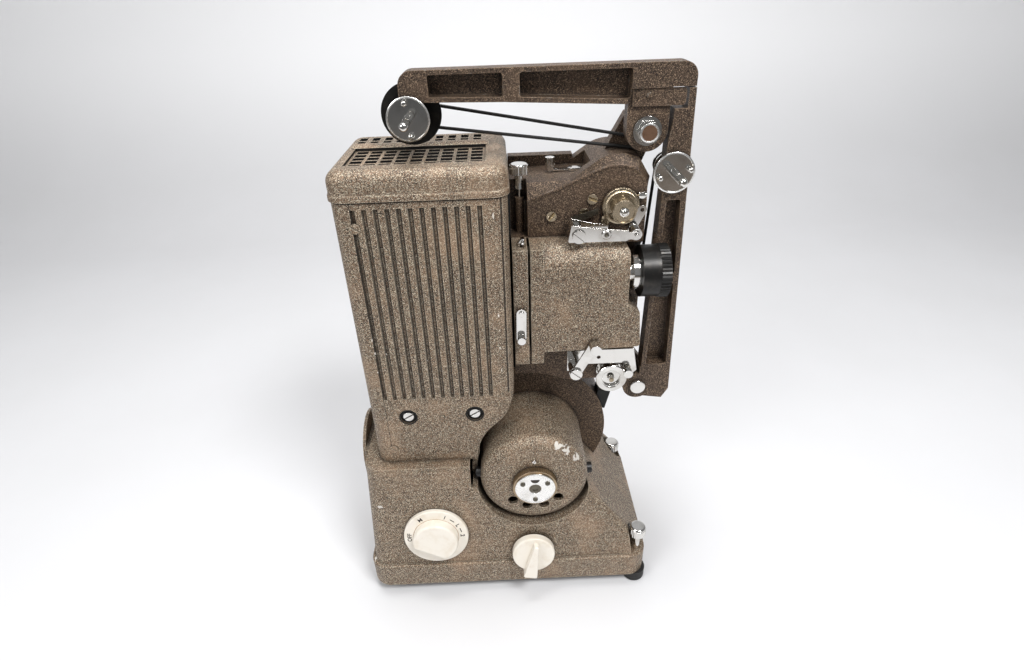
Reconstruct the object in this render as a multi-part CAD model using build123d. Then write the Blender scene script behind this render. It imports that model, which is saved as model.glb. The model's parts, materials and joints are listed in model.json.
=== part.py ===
from build123d import *
import math
import os

# Movie projector for narrow film, folded for storage.
# X runs along the light from the lamp to the lens, Y runs from front to back, Z is up.
# The drawing is laid out about the middle of the base, and shifted when it is written,
# so that the middle of the whole footprint is at the origin.
ORIGIN_X = 9.2
ORIGIN_Y = -5.0

# Clearances
RUN_FIT = 0.06
FIT_GAP = 0.3
BOLT_GAP = 0.1

# Base casting
BASE_LENGTH = 242.0
BASE_WIDTH = 140.0
BASE_CORNER_R = 16.0
BASE_FLOOR_Z = 11.0
PLINTH_TOP = 35.0
PLINTH_STEP = 3.0
BASE_TOP = 135.0
BASE_WALL = 4.0
DRAFT_FRONT = 12.0
DRAFT_END = 4.5
SLOPE_FOOT_X = BASE_LENGTH / 2 - 2.2
SLOPE_TOP_X = SLOPE_FOOT_X - 72.4
SLOPE_FOOT_Z = 41.9
SLOPE_EDGE_R = 7.0
BASE_PLATE_T = 2.0
FOOT_R = 9.7
FOOT_X = 18.0 - BASE_LENGTH / 2
FOOT_Y = BASE_WIDTH / 2 - 20.0

# Levelling screws
LEVEL_FRONT = (BASE_LENGTH / 2 - 8.6, 10.4 - BASE_WIDTH / 2)
LEVEL_REAR = (BASE_LENGTH / 2 - 12.5, BASE_WIDTH / 2 - 22.0)
LEVEL_POCKET_R = 9.0
LEVEL_SHAFT_R = 3.0
LEVEL_HEAD_R = 7.2
LEVEL_HEAD_Z = 53.0
LEVEL_HEAD_H = 9.0
LEVEL_FOOT_H = 10.7

# Dials on the sloping front of the base
SWITCH_X = -60.5
SWITCH_Z = 67.0
SWITCH_R = 27.2
SWITCH_T = 3.5
SWITCH_GRIP_R = 19.0
SWITCH_GRIP_H = 12.0
SPEED_X = 21.4
SPEED_Z = 47.0
SPEED_R = 18.0
SPEED_T = 6.0
SPEED_FIN_H = 15.0
DIAL_SHAFT_R = 3.0

# Socket panel on the left end
PANEL_HALF = 29.0
PANEL_BOSS_X = 4.0 - BASE_LENGTH / 2
PANEL_T = 2.5
PANEL_Z0 = 60.0
PANEL_SPRING_Z = 119.0
INLET_Z = 88.0
INLET_HALF_Y = 13.0
INLET_HALF_Z = 9.0

# Motor
MOTOR_X = 23.8
MOTOR_Z = 119.0
MOTOR_R = 44.0
MOTOR_FRONT = -60.0
MOTOR_BACK = 4.0
MOTOR_WALL = 3.0
MOTOR_EDGE_R = 10.0
CRADLE_GAP = 3.0
MOTOR_SHAFT_R = 4.0
VENT_RING_R = 26.0
VENT_R = 4.4
VENT_ANGLES = (-134.0, -104.0, -73.0, -42.0)
BRUSH_Y = -45.0
BRUSH_CAP_R = 4.5
KNOB_R = 18.0
KNOB_FRONT = -66.5
KNOB_PLATE_R = 16.2

# Blower
DRUM_X = 20.0
DRUM_Z = 122.0
DRUM_R = 70.5
DRUM_FRONT = 4.0
DRUM_BACK = BASE_WIDTH / 2 - 26.0
DRUM_WALL = 2.5
FAN_R = 50.0
FAN_BLADES = 18

# Lamp house
LAMP_LEFT = -102.5
LAMP_RIGHT = 10.2
LAMP_FRONT = -46.0
LAMP_BACK = BASE_WIDTH / 2 - 16.0
LAMP_TOP = 353.0
LAMP_CORNER_R = 10.0
LAMP_WALL = 2.5
S_CURVE_R = 45.5
S_LOW_X = 24.0
S_HIGH_Z = 205.0
COVER_LEFT = -89.5
COVER_T = 2.6
GROOVE_COUNT = 12
GROOVE_FIRST_X = -88.0
GROOVE_PITCH = 7.29
GROOVE_W = 3.2
GROOVE_DEPTH = 1.8
GROOVE_Z0 = 198.0
GROOVE_Z1 = 348.0
ADJUSTER_R = 6.3
ADJUSTER_PLACES = ((-72.7, 180.7), (-21.1, 181.4))
COVER_SCREW_R = 3.4
COVER_SCREWS = ((-87.9, 335.8), (-88.2, 149.0))

# Cap of the lamp house
CAP_LIP = 1.5
CAP_TOP = 372.0
CAP_WALL = 3.0
CAP_EDGE_R = 8.0
GRILLE_X0 = -93.0
GRILLE_X1 = -3.0
GRILLE_Y0 = -31.5
GRILLE_Y1 = 10.8
REAR_SLOT_Y0 = 23.5
REAR_SLOT_Y1 = 43.0

# Optical axis
AXIS_Y = -19.0
AXIS_Z = 285.5
LAMP_X = -46.5
CONDENSER_X0 = -17.0
CONDENSER_R = 14.0

# Mechanism casting
MECH_LEFT = 12.0
MECH_NOTCH_X = 24.0
MECH_RIGHT = 107.0
MECH_FRONT = -10.0
MECH_CREASE = 6.0
MECH_BACK = DRUM_BACK + 1.0
MECH_BOTTOM = 185.0
MECH_NOTCH_Z = 311.0
MECH_WALL = 4.0
LEDGE_Z = 349.5
REAR_WALL_Y = MECH_BACK - 9.0
REAR_WALL_TOP = LEDGE_Z + 7.5
COVER_BACK = MECH_BACK + 11.0

# Gate and lens housing
GATE_X1 = 22.5
GATE_Z0 = 218.0
FILM_GAP = 1.8
HOUSING_FRONT = -34.0
HOUSING_STRIP_X = 33.5
HOUSING_RIGHT = 94.0
HOUSING_FOOT_X = 105.7
HOUSING_Z0 = 228.0
HOUSING_EDGE_R = 18.0
LEVER_X = 17.2
LEVER_Z = 263.0
LEVER_LENGTH = 20.0
LEVER_R = 3.6

# Shutter
SHUTTER_X = 17.4
SHUTTER_T = 1.0
SHUTTER_R = 36.0
SHUTTER_Y = 6.0
SHUTTER_Z = 270.0
SHUTTER_GAP = 1.2
SHAFT_R = 3.0

# Drive
PULLEY_X = 62.0
PULLEY_Z = 250.0
PULLEY_R = 24.0
MOTOR_PULLEY_R = 8.0
BELT_Y = MECH_BACK + 4.3
BELT_R = 1.2

# Lens
BARREL_R = 7.9
BARREL_FLANGE_R = 13.0
BARREL_X0 = 97.7
RING_X0 = 102.9
RING_X1 = 122.9
RING_R = 19.4

# Sprockets
UPPER_SPROCKET = (88.6, 332.5)
LOWER_SPROCKET = (87.5, 195.0)
SPROCKET_R = 8.2
SPROCKET_FRONT = -25.0
SPROCKET_BACK = -12.5
SPROCKET_FLANGE_R = 12.9
SPROCKET_TEETH = 8
CHAIN_Y = MECH_BACK - 12.0
CHAIN_WHEEL_R = 5.4
LOWER_DISC_R = 12.2

# Keepers
UPPER_PIVOT = (57.8, 318.2)
UPPER_ROLLER = (97.3, 317.3)
LOWER_PIVOT = (57.8, 209.2)
LOWER_ROLLER = (99.8, 202.0)
POST_R = 2.5
POST_HEAD_R = 4.7
ROLLER_PIN_R = 1.5
ROLLER_R = 4.0

# Framing knob and clutch lever
FRAMING_X = 19.0
FRAMING_Y = 2.0
FRAMING_TOP = 360.5
CLUTCH_X = 42.0
CLUTCH_Y = 20.0
CLUTCH_END = (63.8, 18.7)

# Arms
ARM_FRONT = -9.0
ARM_BACK = 4.0
RECESS_DEPTH = 10.5
FEED_PIVOT = (104.0, 381.0)
FEED_LUG_R = 13.8
FEED_TOP = 422.8
FEED_LEFT = -55.8
FEED_RIGHT = 132.5
TAKE_PIVOT = (113.3, 174.4)
TAKE_BOSS_R = 12.0
TAKE_TOP = 407.2
BRACKET_Y0 = 12.5
BRACKET_Y1 = 22.0
PIVOT_R = 4.0
HEX_ACROSS = 13.0
WASHER_R = 9.4
RELIEF_X = 128.2
RELIEF_Z0 = 263.0
RELIEF_Z1 = 308.0

# Spindles
FEED_SPINDLE = (-51.1, 394.7)
TAKE_SPINDLE = (123.3, 354.0)
SPINDLE_R = 2.8
SPINDLE_SHAFT_R = 2.5
SPINDLE_TIP = -37.0
DISC_R = 14.0
DISC_Y0 = -12.5
DISC_Y1 = -11.0
FEED_PULLEY_R = 20.0
SPOOL_GROOVE_R = 6.0
ARM_BELT_R = 1.1
ARM_BELT_Y = 9.2
GUIDE_POST = (103.5, 369.6)
GUIDE_POST_R = 2.2

BASED = (Align.CENTER, Align.CENTER, Align.MIN)
CORNER = (Align.MIN, Align.MIN, Align.MIN)


def rod_x(y, z, x0, x1, r):
    """A round bar along X."""
    return Pos(x0, y, z) * (Rot(0, 90, 0) * Cylinder(r, x1 - x0, align=BASED))


def rod_y(x, z, y0, y1, r):
    """A round bar along Y."""
    return Pos(x, y0, z) * (Rot(-90, 0, 0) * Cylinder(r, y1 - y0, align=BASED))


def rod_z(x, y, z0, z1, r):
    """A round bar along Z."""
    return Pos(x, y, z0) * Cylinder(r, z1 - z0, align=BASED)


def block(x0, x1, y0, y1, z0, z1):
    return Pos(x0, y0, z0) * Box(x1 - x0, y1 - y0, z1 - z0, align=CORNER)


def front_plane(y):
    """A plane that faces the front, drawn on in X and Z."""
    return Plane(origin=(0, y, 0), x_dir=(1, 0, 0), z_dir=(0, -1, 0))


def slab(face, y0, y1):
    """A face drawn in X and Z, made solid from y0 back to y1."""
    return extrude(front_plane(y1) * face, amount=y1 - y0, dir=(0, -1, 0))


def raised(face, height):
    """A flat face made solid upwards."""
    return extrude(face, amount=height, dir=(0, 0, 1))


def polygon(*points):
    return Polygon(*points, align=None)


def disc(x, z, r):
    return Pos(x, z) * Circle(r)


def polar(x, z, r, degrees):
    turn = math.radians(degrees)
    return (x + r * math.cos(turn), z + r * math.sin(turn))


def round_near(shape, places, r, reach=0.6):
    """Round the corners of a flat outline that lie near the named places."""
    chosen = []
    for vertex in shape.vertices():
        for place in places:
            if math.dist((vertex.X, vertex.Y), place) < reach:
                chosen.append(vertex)
                break
    return fillet(chosen, r)


def knurled(r, height, count, depth=0.35):
    """A knurled grip along Z, a many-sided outline made solid."""
    points = []
    for step in range(2 * count):
        reach = r if step % 2 == 0 else r - depth
        points.append(polar(0, 0, reach, 180.0 * step / count))
    return raised(polygon(*points), height)


def capsule(start, end, r):
    """A flat link outline with round ends."""
    centre = ((start[0] + end[0]) / 2, (start[1] + end[1]) / 2)
    angle = math.degrees(math.atan2(end[1] - start[1], end[0] - start[0]))
    length = math.dist(start, end)
    bar = Pos(*centre) * (Rot(0, 0, angle) * Rectangle(length, 2 * r))
    return bar + disc(start[0], start[1], r) + disc(end[0], end[1], r)


def front_y(z):
    """Where the sloping front of the base stands at a height."""
    share = (z - PLINTH_TOP) / (BASE_TOP - PLINTH_TOP)
    return -(BASE_WIDTH / 2 - PLINTH_STEP) + DRAFT_FRONT * share


def dial_plane(x, z):
    """A plane on the sloping front of the base, facing outwards."""
    tilt = math.atan2(DRAFT_FRONT, BASE_TOP - PLINTH_TOP)
    outward = (0, -math.cos(tilt), math.sin(tilt))
    return Plane(origin=(x, front_y(z), z), x_dir=(1, 0, 0), z_dir=outward)


def slope_region(inset):
    """The space to the right of the sloping side, moved inwards by inset."""
    run = SLOPE_FOOT_X - SLOPE_TOP_X
    drop = BASE_TOP - SLOPE_FOOT_Z
    shift = inset * math.hypot(run, drop) / drop
    top_x = SLOPE_TOP_X - shift
    rise = 40.0
    above = (top_x - rise * run / drop, BASE_TOP + rise)
    below = (SLOPE_FOOT_X - shift + rise * run / drop, SLOPE_FOOT_Z - rise)
    far_x = BASE_LENGTH
    face = polygon(above, below, (far_x, below[1]), (far_x, above[1]))
    return slab(face, -BASE_WIDTH, BASE_WIDTH)


def base_upper(inset, top):
    """The drafted upper body of the base, shrunk by inset on every side."""
    low_x = BASE_LENGTH - 2 * PLINTH_STEP - 2 * inset
    low_y = BASE_WIDTH - 2 * PLINTH_STEP - 2 * inset
    share = (top - PLINTH_TOP) / (BASE_TOP - PLINTH_TOP)
    high_x = low_x - 2 * DRAFT_END * share
    high_y = low_y - 2 * DRAFT_FRONT * share
    corner = BASE_CORNER_R - PLINTH_STEP - inset / 2
    low = Pos(0, 0, PLINTH_TOP) * RectangleRounded(low_x, low_y, corner)
    high = Pos(0, 0, top) * RectangleRounded(high_x, high_y, corner)
    return loft([low, high], ruled=True)


def base_casting():
    height = PLINTH_TOP - BASE_FLOOR_Z
    plinth_face = RectangleRounded(BASE_LENGTH, BASE_WIDTH, BASE_CORNER_R)
    plinth = Pos(0, 0, BASE_FLOOR_Z) * extrude(plinth_face, amount=height)
    plinth = fillet(plinth.edges().group_by(Axis.Z)[-1], 2.0)
    upper = base_upper(0, BASE_TOP) - slope_region(0)
    slanted = []
    for edge in upper.edges():
        middle = edge.center()
        rises = edge.bounding_box().size.Z > 60 and edge.bounding_box().size.X > 40
        if rises and abs(middle.Y) > 50:
            slanted.append(edge)
    upper = fillet(slanted, SLOPE_EDGE_R)
    body = plinth + upper
    inner_x = BASE_LENGTH - 2 * PLINTH_STEP - 2 * BASE_WALL
    inner_y = BASE_WIDTH - 2 * PLINTH_STEP - 2 * BASE_WALL
    inner_face = RectangleRounded(inner_x, inner_y, BASE_CORNER_R - PLINTH_STEP - BASE_WALL / 2)
    hollow = Pos(0, 0, BASE_FLOOR_Z) * extrude(inner_face, amount=height)
    hollow = hollow + base_upper(BASE_WALL, BASE_TOP - BASE_WALL)
    hollow = hollow - slope_region(BASE_WALL)
    cradle_r = MOTOR_R + CRADLE_GAP
    keep = rod_y(MOTOR_X, MOTOR_Z, -BASE_WIDTH, MOTOR_BACK - FIT_GAP, cradle_r + BASE_WALL)
    column_z0 = BASE_FLOOR_Z + BASE_PLATE_T
    for x, y in (LEVEL_FRONT, LEVEL_REAR):
        keep = keep + rod_z(x, y, column_z0, BASE_TOP, LEVEL_POCKET_R + BASE_WALL)
    for y in (-FOOT_Y, FOOT_Y):
        keep = keep + rod_z(FOOT_X, y, column_z0, PLINTH_TOP, FOOT_R + 3.0)
    body = body - (hollow - keep)
    boss = block(PANEL_BOSS_X, PANEL_BOSS_X + 6.0, -PANEL_HALF, PANEL_HALF, PANEL_Z0, BASE_TOP - 2.0)
    body = body + (boss - base_upper(BASE_WALL, BASE_TOP - BASE_WALL))
    body = body - rod_y(MOTOR_X, MOTOR_Z, -BASE_WIDTH, MOTOR_BACK, cradle_r)
    body = body - rod_y(DRUM_X, DRUM_Z, DRUM_FRONT - FIT_GAP, DRUM_BACK + FIT_GAP, DRUM_R + FIT_GAP)
    notch_left = MOTOR_X - cradle_r - 5.0
    notch_z0 = MOTOR_Z - BRUSH_CAP_R - 1.0
    body = body - block(notch_left, MOTOR_X, -BASE_WIDTH, BRUSH_Y + BRUSH_CAP_R + 1.0, notch_z0, BASE_TOP + 1.0)
    for x, y in (LEVEL_FRONT, LEVEL_REAR):
        body = body - rod_z(x, y, PLINTH_TOP, BASE_TOP, LEVEL_POCKET_R)
        body = body - rod_z(x, y, BASE_FLOOR_Z, PLINTH_TOP, LEVEL_SHAFT_R + RUN_FIT)
    for x, z in ((SWITCH_X, SWITCH_Z), (SPEED_X, SPEED_Z)):
        bore = Cylinder(DIAL_SHAFT_R + RUN_FIT, 4 * BASE_WALL)
        body = body - dial_plane(x, z) * bore
    inlet_y = INLET_HALF_Y - 2.0 + FIT_GAP
    inlet_z = INLET_HALF_Z - 2.0 + FIT_GAP
    body = body - block(PANEL_BOSS_X - 1.0, PANEL_BOSS_X + 12.0, -inlet_y, inlet_y,
                        INLET_Z - inlet_z, INLET_Z + inlet_z)
    slot_half = MOTOR_PULLEY_R + 6.0
    body = body - block(MOTOR_X - slot_half, MOTOR_X + slot_half + 6.0, BELT_Y - 3.0, BELT_Y + 3.0,
                        BASE_TOP - 2 * BASE_WALL, BASE_TOP + 1.0)
    return body


def base_plate():
    length = BASE_LENGTH - 2 * PLINTH_STEP - 2 * BASE_WALL - 2 * FIT_GAP
    width = BASE_WIDTH - 2 * PLINTH_STEP - 2 * BASE_WALL - 2 * FIT_GAP
    corner = BASE_CORNER_R - PLINTH_STEP - BASE_WALL / 2 - FIT_GAP
    plate = Pos(0, 0, BASE_FLOOR_Z) * extrude(RectangleRounded(length, width, corner), amount=BASE_PLATE_T)
    for x, y in (LEVEL_FRONT, LEVEL_REAR):
        plate = plate - rod_z(x, y, 0, PLINTH_TOP, LEVEL_SHAFT_R + 1.0)
    for step in range(5):
        x = -40.0 + 20.0 * step
        plate = plate - block(x, x + 6.0, -30.0, 30.0, 0, PLINTH_TOP)
    return plate


def rubber_foot(x, y, height):
    foot = rod_z(x, y, 0, height, FOOT_R)
    return fillet(foot.edges().group_by(Axis.Z)[0], 1.5)


def fixed_feet():
    feet = []
    for y in (-FOOT_Y, FOOT_Y):
        feet.append(rubber_foot(FOOT_X, y, BASE_FLOOR_Z))
    return feet


def levelling_foot(place):
    x, y = place
    foot = rubber_foot(x, y, LEVEL_FOOT_H)
    return foot - rod_z(x, y, 3.0, BASE_FLOOR_Z, LEVEL_SHAFT_R + RUN_FIT)


def levelling_screw(place):
    x, y = place
    shaft = rod_z(x, y, 3.0 + RUN_FIT, LEVEL_HEAD_Z, LEVEL_SHAFT_R)
    waist = rod_z(x, y, LEVEL_HEAD_Z - 3.0, LEVEL_HEAD_Z, LEVEL_HEAD_R - 2.6)
    head = Pos(x, y, LEVEL_HEAD_Z) * knurled(LEVEL_HEAD_R, LEVEL_HEAD_H - 2.0, 26)
    crown_z = LEVEL_HEAD_Z + LEVEL_HEAD_H - 2.0
    crown = rod_z(x, y, crown_z, crown_z + 2.0, LEVEL_HEAD_R - 0.4)
    crown = fillet(crown.edges().group_by(Axis.Z)[-1], 1.8)
    return shaft + waist + head + crown


def switch_dial():
    plane = dial_plane(SWITCH_X, SWITCH_Z)
    plate = Pos(0, 0, FIT_GAP) * Cylinder(SWITCH_R, SWITCH_T, align=BASED)
    plate = fillet(plate.edges().group_by(Axis.Z)[-1], 1.0)
    chord = Rot(0, 0, -27) * (Pos(0, 12.0) * Rectangle(60.0, 49.0))
    grip_face = Circle(SWITCH_GRIP_R) & chord
    grip = raised(grip_face, FIT_GAP + SWITCH_GRIP_H)
    grip = fillet(grip.edges().group_by(Axis.Z)[-1], 2.0)
    grip = grip - Cylinder(60.0, 2 * FIT_GAP, align=(Align.CENTER, Align.CENTER, Align.CENTER))
    shaft = Pos(0, 0, -14.0) * Cylinder(DIAL_SHAFT_R, 15.0, align=BASED)
    return plane * (plate + grip + shaft)


def speed_knob():
    """The knob stands off far enough to clear the step of the plinth."""
    plane = dial_plane(SPEED_X, SPEED_Z)
    lift = PLINTH_STEP
    plate = Pos(0, 0, lift) * Cylinder(SPEED_R, SPEED_T, align=BASED)
    plate = fillet(plate.edges().group_by(Axis.Z)[-1], 1.5)
    hub = Pos(0, 0, FIT_GAP) * Cylinder(2 * DIAL_SHAFT_R, lift, align=BASED)
    fin_face = polygon((-6.0, -20.5), (6.0, -20.5), (2.0, 14.0), (-2.0, 14.0))
    fin_face = fillet(fin_face.vertices(), 1.5)
    fin = Pos(0, 0, lift + 1.0) * raised(Rot(0, 0, -10) * fin_face, SPEED_FIN_H - lift - 1.0)
    fin = fillet(fin.edges().group_by(Axis.Z)[-1], 1.2)
    shaft = Pos(0, 0, -14.0) * Cylinder(DIAL_SHAFT_R, 15.0, align=BASED)
    return plane * (plate + hub + fin + shaft)


def control_bodies():
    """The rotary switch and the speed resistor behind the two dials."""
    pieces = []
    for x, z, r in ((SWITCH_X, SWITCH_Z, 15.0), (SPEED_X, SPEED_Z, 12.0)):
        depth = 12.0
        back = BASE_WALL + FIT_GAP
        body = Pos(0, 0, -back - depth) * Cylinder(r, depth, align=BASED)
        lug = Pos(0, r + 1.0, -back - depth / 2) * Box(8.0, 6.0, 3.0)
        bore = Pos(0, 0, -30.0) * Cylinder(DIAL_SHAFT_R + RUN_FIT, 40.0, align=BASED)
        pieces.append(dial_plane(x, z) * (body + lug - bore))
    return pieces


def socket_panel():
    face = Pos(0, (PANEL_Z0 + PANEL_SPRING_Z) / 2) * Rectangle(2 * PANEL_HALF, PANEL_SPRING_Z - PANEL_Z0)
    face = face + disc(0, PANEL_SPRING_Z, PANEL_HALF)
    side = Plane(origin=(PANEL_BOSS_X, 0, 0), x_dir=(0, 1, 0), z_dir=(1, 0, 0))
    panel = extrude(side * face, amount=PANEL_T, dir=(-1, 0, 0))
    inlet_y = INLET_HALF_Y - 2.0 + FIT_GAP
    inlet_z = INLET_HALF_Z - 2.0 + FIT_GAP
    panel = panel - block(PANEL_BOSS_X - 6.0, PANEL_BOSS_X + 1.0, -inlet_y, inlet_y,
                          INLET_Z - inlet_z, INLET_Z + inlet_z)
    return panel


def mains_inlet():
    outer_x = PANEL_BOSS_X - PANEL_T
    rim = block(outer_x - 2.0, outer_x, -INLET_HALF_Y, INLET_HALF_Y,
                INLET_Z - INLET_HALF_Z, INLET_Z + INLET_HALF_Z)
    body = block(outer_x, outer_x + 14.0, -INLET_HALF_Y + 2.0, INLET_HALF_Y - 2.0,
                 INLET_Z - INLET_HALF_Z + 2.0, INLET_Z + INLET_HALF_Z - 2.0)
    well = block(outer_x - 3.0, outer_x + 11.0, -INLET_HALF_Y + 4.5, INLET_HALF_Y - 4.5,
                 INLET_Z - INLET_HALF_Z + 4.5, INLET_Z + INLET_HALF_Z - 4.5)
    inlet = rim + body - well
    for y in (-5.0, 5.0):
        inlet = inlet + rod_x(y, INLET_Z, outer_x, outer_x + 12.0, 1.5)
    return inlet


def motor_housing():
    shell = rod_y(MOTOR_X, MOTOR_Z, MOTOR_FRONT, MOTOR_BACK, MOTOR_R)
    shell = fillet(shell.edges().sort_by(Axis.Y)[0], MOTOR_EDGE_R)
    inner = rod_y(MOTOR_X, MOTOR_Z, MOTOR_FRONT + MOTOR_WALL, MOTOR_BACK + 1.0, MOTOR_R - MOTOR_WALL)
    inner = fillet(inner.edges().sort_by(Axis.Y)[0], MOTOR_EDGE_R - MOTOR_WALL)
    shell = shell - inner
    bush = rod_y(MOTOR_X, MOTOR_Z, MOTOR_FRONT + 1.0, MOTOR_FRONT + 8.0, MOTOR_SHAFT_R + 4.0)
    shell = shell + bush - rod_y(MOTOR_X, MOTOR_Z, MOTOR_FRONT - 1.0, -40.0, MOTOR_SHAFT_R + RUN_FIT)
    for angle in VENT_ANGLES:
        x, z = polar(MOTOR_X, MOTOR_Z, VENT_RING_R, angle)
        shell = shell - rod_y(x, z, MOTOR_FRONT - 1.0, MOTOR_FRONT + 8.0, VENT_R)
    bore = BRUSH_CAP_R + BOLT_GAP
    return shell - rod_x(BRUSH_Y, MOTOR_Z, MOTOR_X - 60.0, MOTOR_X + 60.0, bore)


def brush_caps():
    """Two screwed caps, each with the carbon brush that it holds."""
    pieces = []
    for side in (-1, 1):
        inner_x = MOTOR_X + side * (MOTOR_R - MOTOR_WALL - 3.0)
        outer_x = MOTOR_X + side * (MOTOR_R + 4.0)
        cap = rod_x(BRUSH_Y, MOTOR_Z, min(inner_x, outer_x), max(inner_x, outer_x), BRUSH_CAP_R)
        slot_x = outer_x - side * 1.2
        cap = cap - block(min(slot_x, outer_x), max(slot_x, outer_x), BRUSH_Y - 6.0, BRUSH_Y + 6.0,
                          MOTOR_Z - 0.6, MOTOR_Z + 0.6)
        brush_x = MOTOR_X + side * 12.4
        brush = rod_x(BRUSH_Y, MOTOR_Z, min(inner_x, brush_x), max(inner_x, brush_x), 2.5)
        pieces.append(cap + brush)
    return pieces


def motor_stator():
    ring = rod_y(MOTOR_X, MOTOR_Z, -36.0, -6.0, MOTOR_R - MOTOR_WALL - BOLT_GAP)
    return ring - rod_y(MOTOR_X, MOTOR_Z, -37.0, -5.0, 25.8)


def motor_armature():
    shaft = rod_y(MOTOR_X, MOTOR_Z, KNOB_FRONT + 3.0, BELT_Y + 2.0, MOTOR_SHAFT_R)
    core = rod_y(MOTOR_X, MOTOR_Z, -36.0, -6.0, 25.0)
    for step in range(12):
        x, z = polar(MOTOR_X, MOTOR_Z, 25.0, 30.0 * step)
        core = core - rod_y(x, z, -37.0, -5.0, 2.2)
    commutator = rod_y(MOTOR_X, MOTOR_Z, -49.0, -41.0, 12.0)
    winding = rod_y(MOTOR_X, MOTOR_Z, -41.0, -3.0, 18.0)
    grooved = rod_y(MOTOR_X, MOTOR_Z, BELT_Y - 2.0, BELT_Y + 2.0, MOTOR_PULLEY_R)
    groove = Pos(MOTOR_X, BELT_Y, MOTOR_Z) * (Rot(90, 0, 0) * Torus(MOTOR_PULLEY_R, BELT_R + FIT_GAP))
    return shaft + core + commutator + winding + (grooved - groove)


def inching_knob():
    """The hand knob on the front of the motor shaft."""
    back = MOTOR_FRONT - 0.5
    depth = back - KNOB_FRONT
    collar = Rot(90, 0, 0) * knurled(KNOB_R, depth - 0.8, 60, 0.5)
    knob = Pos(MOTOR_X, back, MOTOR_Z) * collar
    knob = knob + rod_y(MOTOR_X, MOTOR_Z, KNOB_FRONT, back - 1.0, KNOB_PLATE_R)
    knob = knob - rod_y(MOTOR_X, MOTOR_Z, KNOB_FRONT + 3.0 - BOLT_GAP, back + 1.0, MOTOR_SHAFT_R)
    knob = knob - rod_y(MOTOR_X, MOTOR_Z, KNOB_FRONT - 1.0, KNOB_FRONT + 1.2, 4.3)
    for angle in (30.0, 150.0, 270.0):
        x, z = polar(MOTOR_X, MOTOR_Z, 12.6, angle)
        knob = knob - rod_y(x, z, KNOB_FRONT - 1.0, KNOB_FRONT + 0.8, 2.0)
    half_moon = disc(MOTOR_X, MOTOR_Z + 10.5, 3.8) - Pos(MOTOR_X, MOTOR_Z + 12.5) * Rectangle(10.0, 4.0)
    return knob - slab(half_moon, KNOB_FRONT - 1.0, KNOB_FRONT + 1.2)


def blower_housing():
    drum = rod_y(DRUM_X, DRUM_Z, DRUM_FRONT, DRUM_BACK, DRUM_R)
    drum = drum - rod_y(DRUM_X, DRUM_Z, DRUM_FRONT + DRUM_WALL, DRUM_BACK - DRUM_WALL, DRUM_R - DRUM_WALL)
    drum = drum - rod_y(MOTOR_X, MOTOR_Z, DRUM_FRONT - 1.0, DRUM_BACK + 1.0, MOTOR_SHAFT_R + RUN_FIT)
    for step in range(6):
        x, z = polar(MOTOR_X, MOTOR_Z, 20.0, 60.0 * step)
        drum = drum - rod_y(x, z, DRUM_FRONT - 1.0, DRUM_FRONT + DRUM_WALL + 1.0, 6.0)
    outlet = block(-38.0, 4.0, DRUM_FRONT + 4.0, DRUM_BACK - 4.0, DRUM_Z + 34.0, DRUM_Z + DRUM_R + 5.0)
    return drum - outlet


def fan_wheel():
    y0 = DRUM_FRONT + 6.0
    y1 = DRUM_BACK - 6.0
    plate = rod_y(MOTOR_X, MOTOR_Z, y1 - 2.0, y1, FAN_R)
    hub = rod_y(MOTOR_X, MOTOR_Z, y1 - 14.0, y1, 9.0)
    ring = rod_y(MOTOR_X, MOTOR_Z, y0, y0 + 2.0, FAN_R) - rod_y(MOTOR_X, MOTOR_Z, y0 - 1.0, y0 + 3.0, FAN_R - 10.0)
    wheel = plate + hub + ring
    for step in range(FAN_BLADES):
        angle = 360.0 * step / FAN_BLADES
        x, z = polar(MOTOR_X, MOTOR_Z, FAN_R - 5.0, angle)
        blade = Pos(x, (y0 + y1) / 2, z) * (Rot(0, -angle - 20.0, 0) * Box(9.0, y1 - y0 - 1.0, 1.2))
        wheel = wheel + blade
    return wheel - rod_y(MOTOR_X, MOTOR_Z, y0 - 2.0, y1 + 2.0, MOTOR_SHAFT_R + 0.02)


def motor_corner(offset):
    """The space kept free at the lower right of the lamp house, in X and Z.

    A hollow curve over the motor runs into a round shoulder below the right wall.
    """
    low = (S_LOW_X, BASE_TOP + 1.0)
    high = (LAMP_RIGHT - S_CURVE_R, S_HIGH_Z)
    middle = ((low[0] + high[0]) / 2, (low[1] + high[1]) / 2)
    inner_r = S_CURVE_R + offset
    outer_r = S_CURVE_R - offset
    start = (low[0] - inner_r, low[1])
    end = (high[0] + outer_r, high[1])
    away = math.degrees(math.atan2(middle[1] - low[1], middle[0] - low[0]))
    joint = polar(low[0], low[1], inner_r, away)
    arc_low = polar(low[0], low[1], inner_r, (180.0 + away) / 2)
    back = math.degrees(math.atan2(middle[1] - high[1], middle[0] - high[0]))
    arc_high = polar(high[0], high[1], outer_r, back / 2)
    far = LAMP_RIGHT + 20.0
    edges = [
        Line((far, BASE_TOP - 5.0), (start[0], BASE_TOP - 5.0)),
        Line((start[0], BASE_TOP - 5.0), start),
        ThreePointArc(start, arc_low, joint),
        ThreePointArc(joint, arc_high, end),
        Line(end, (far, end[1])),
        Line((far, end[1]), (far, BASE_TOP - 5.0)),
    ]
    return make_face(edges)


def lamp_house_outer():
    length = LAMP_RIGHT - LAMP_LEFT
    width = LAMP_BACK - LAMP_FRONT
    face = Pos((LAMP_LEFT + LAMP_RIGHT) / 2, (LAMP_FRONT + LAMP_BACK) / 2, BASE_TOP)
    face = face * RectangleRounded(length, width, LAMP_CORNER_R)
    house = extrude(face, amount=LAMP_TOP - BASE_TOP)
    return house - slab(motor_corner(0), LAMP_FRONT - 5.0, DRUM_FRONT - FIT_GAP)


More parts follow.
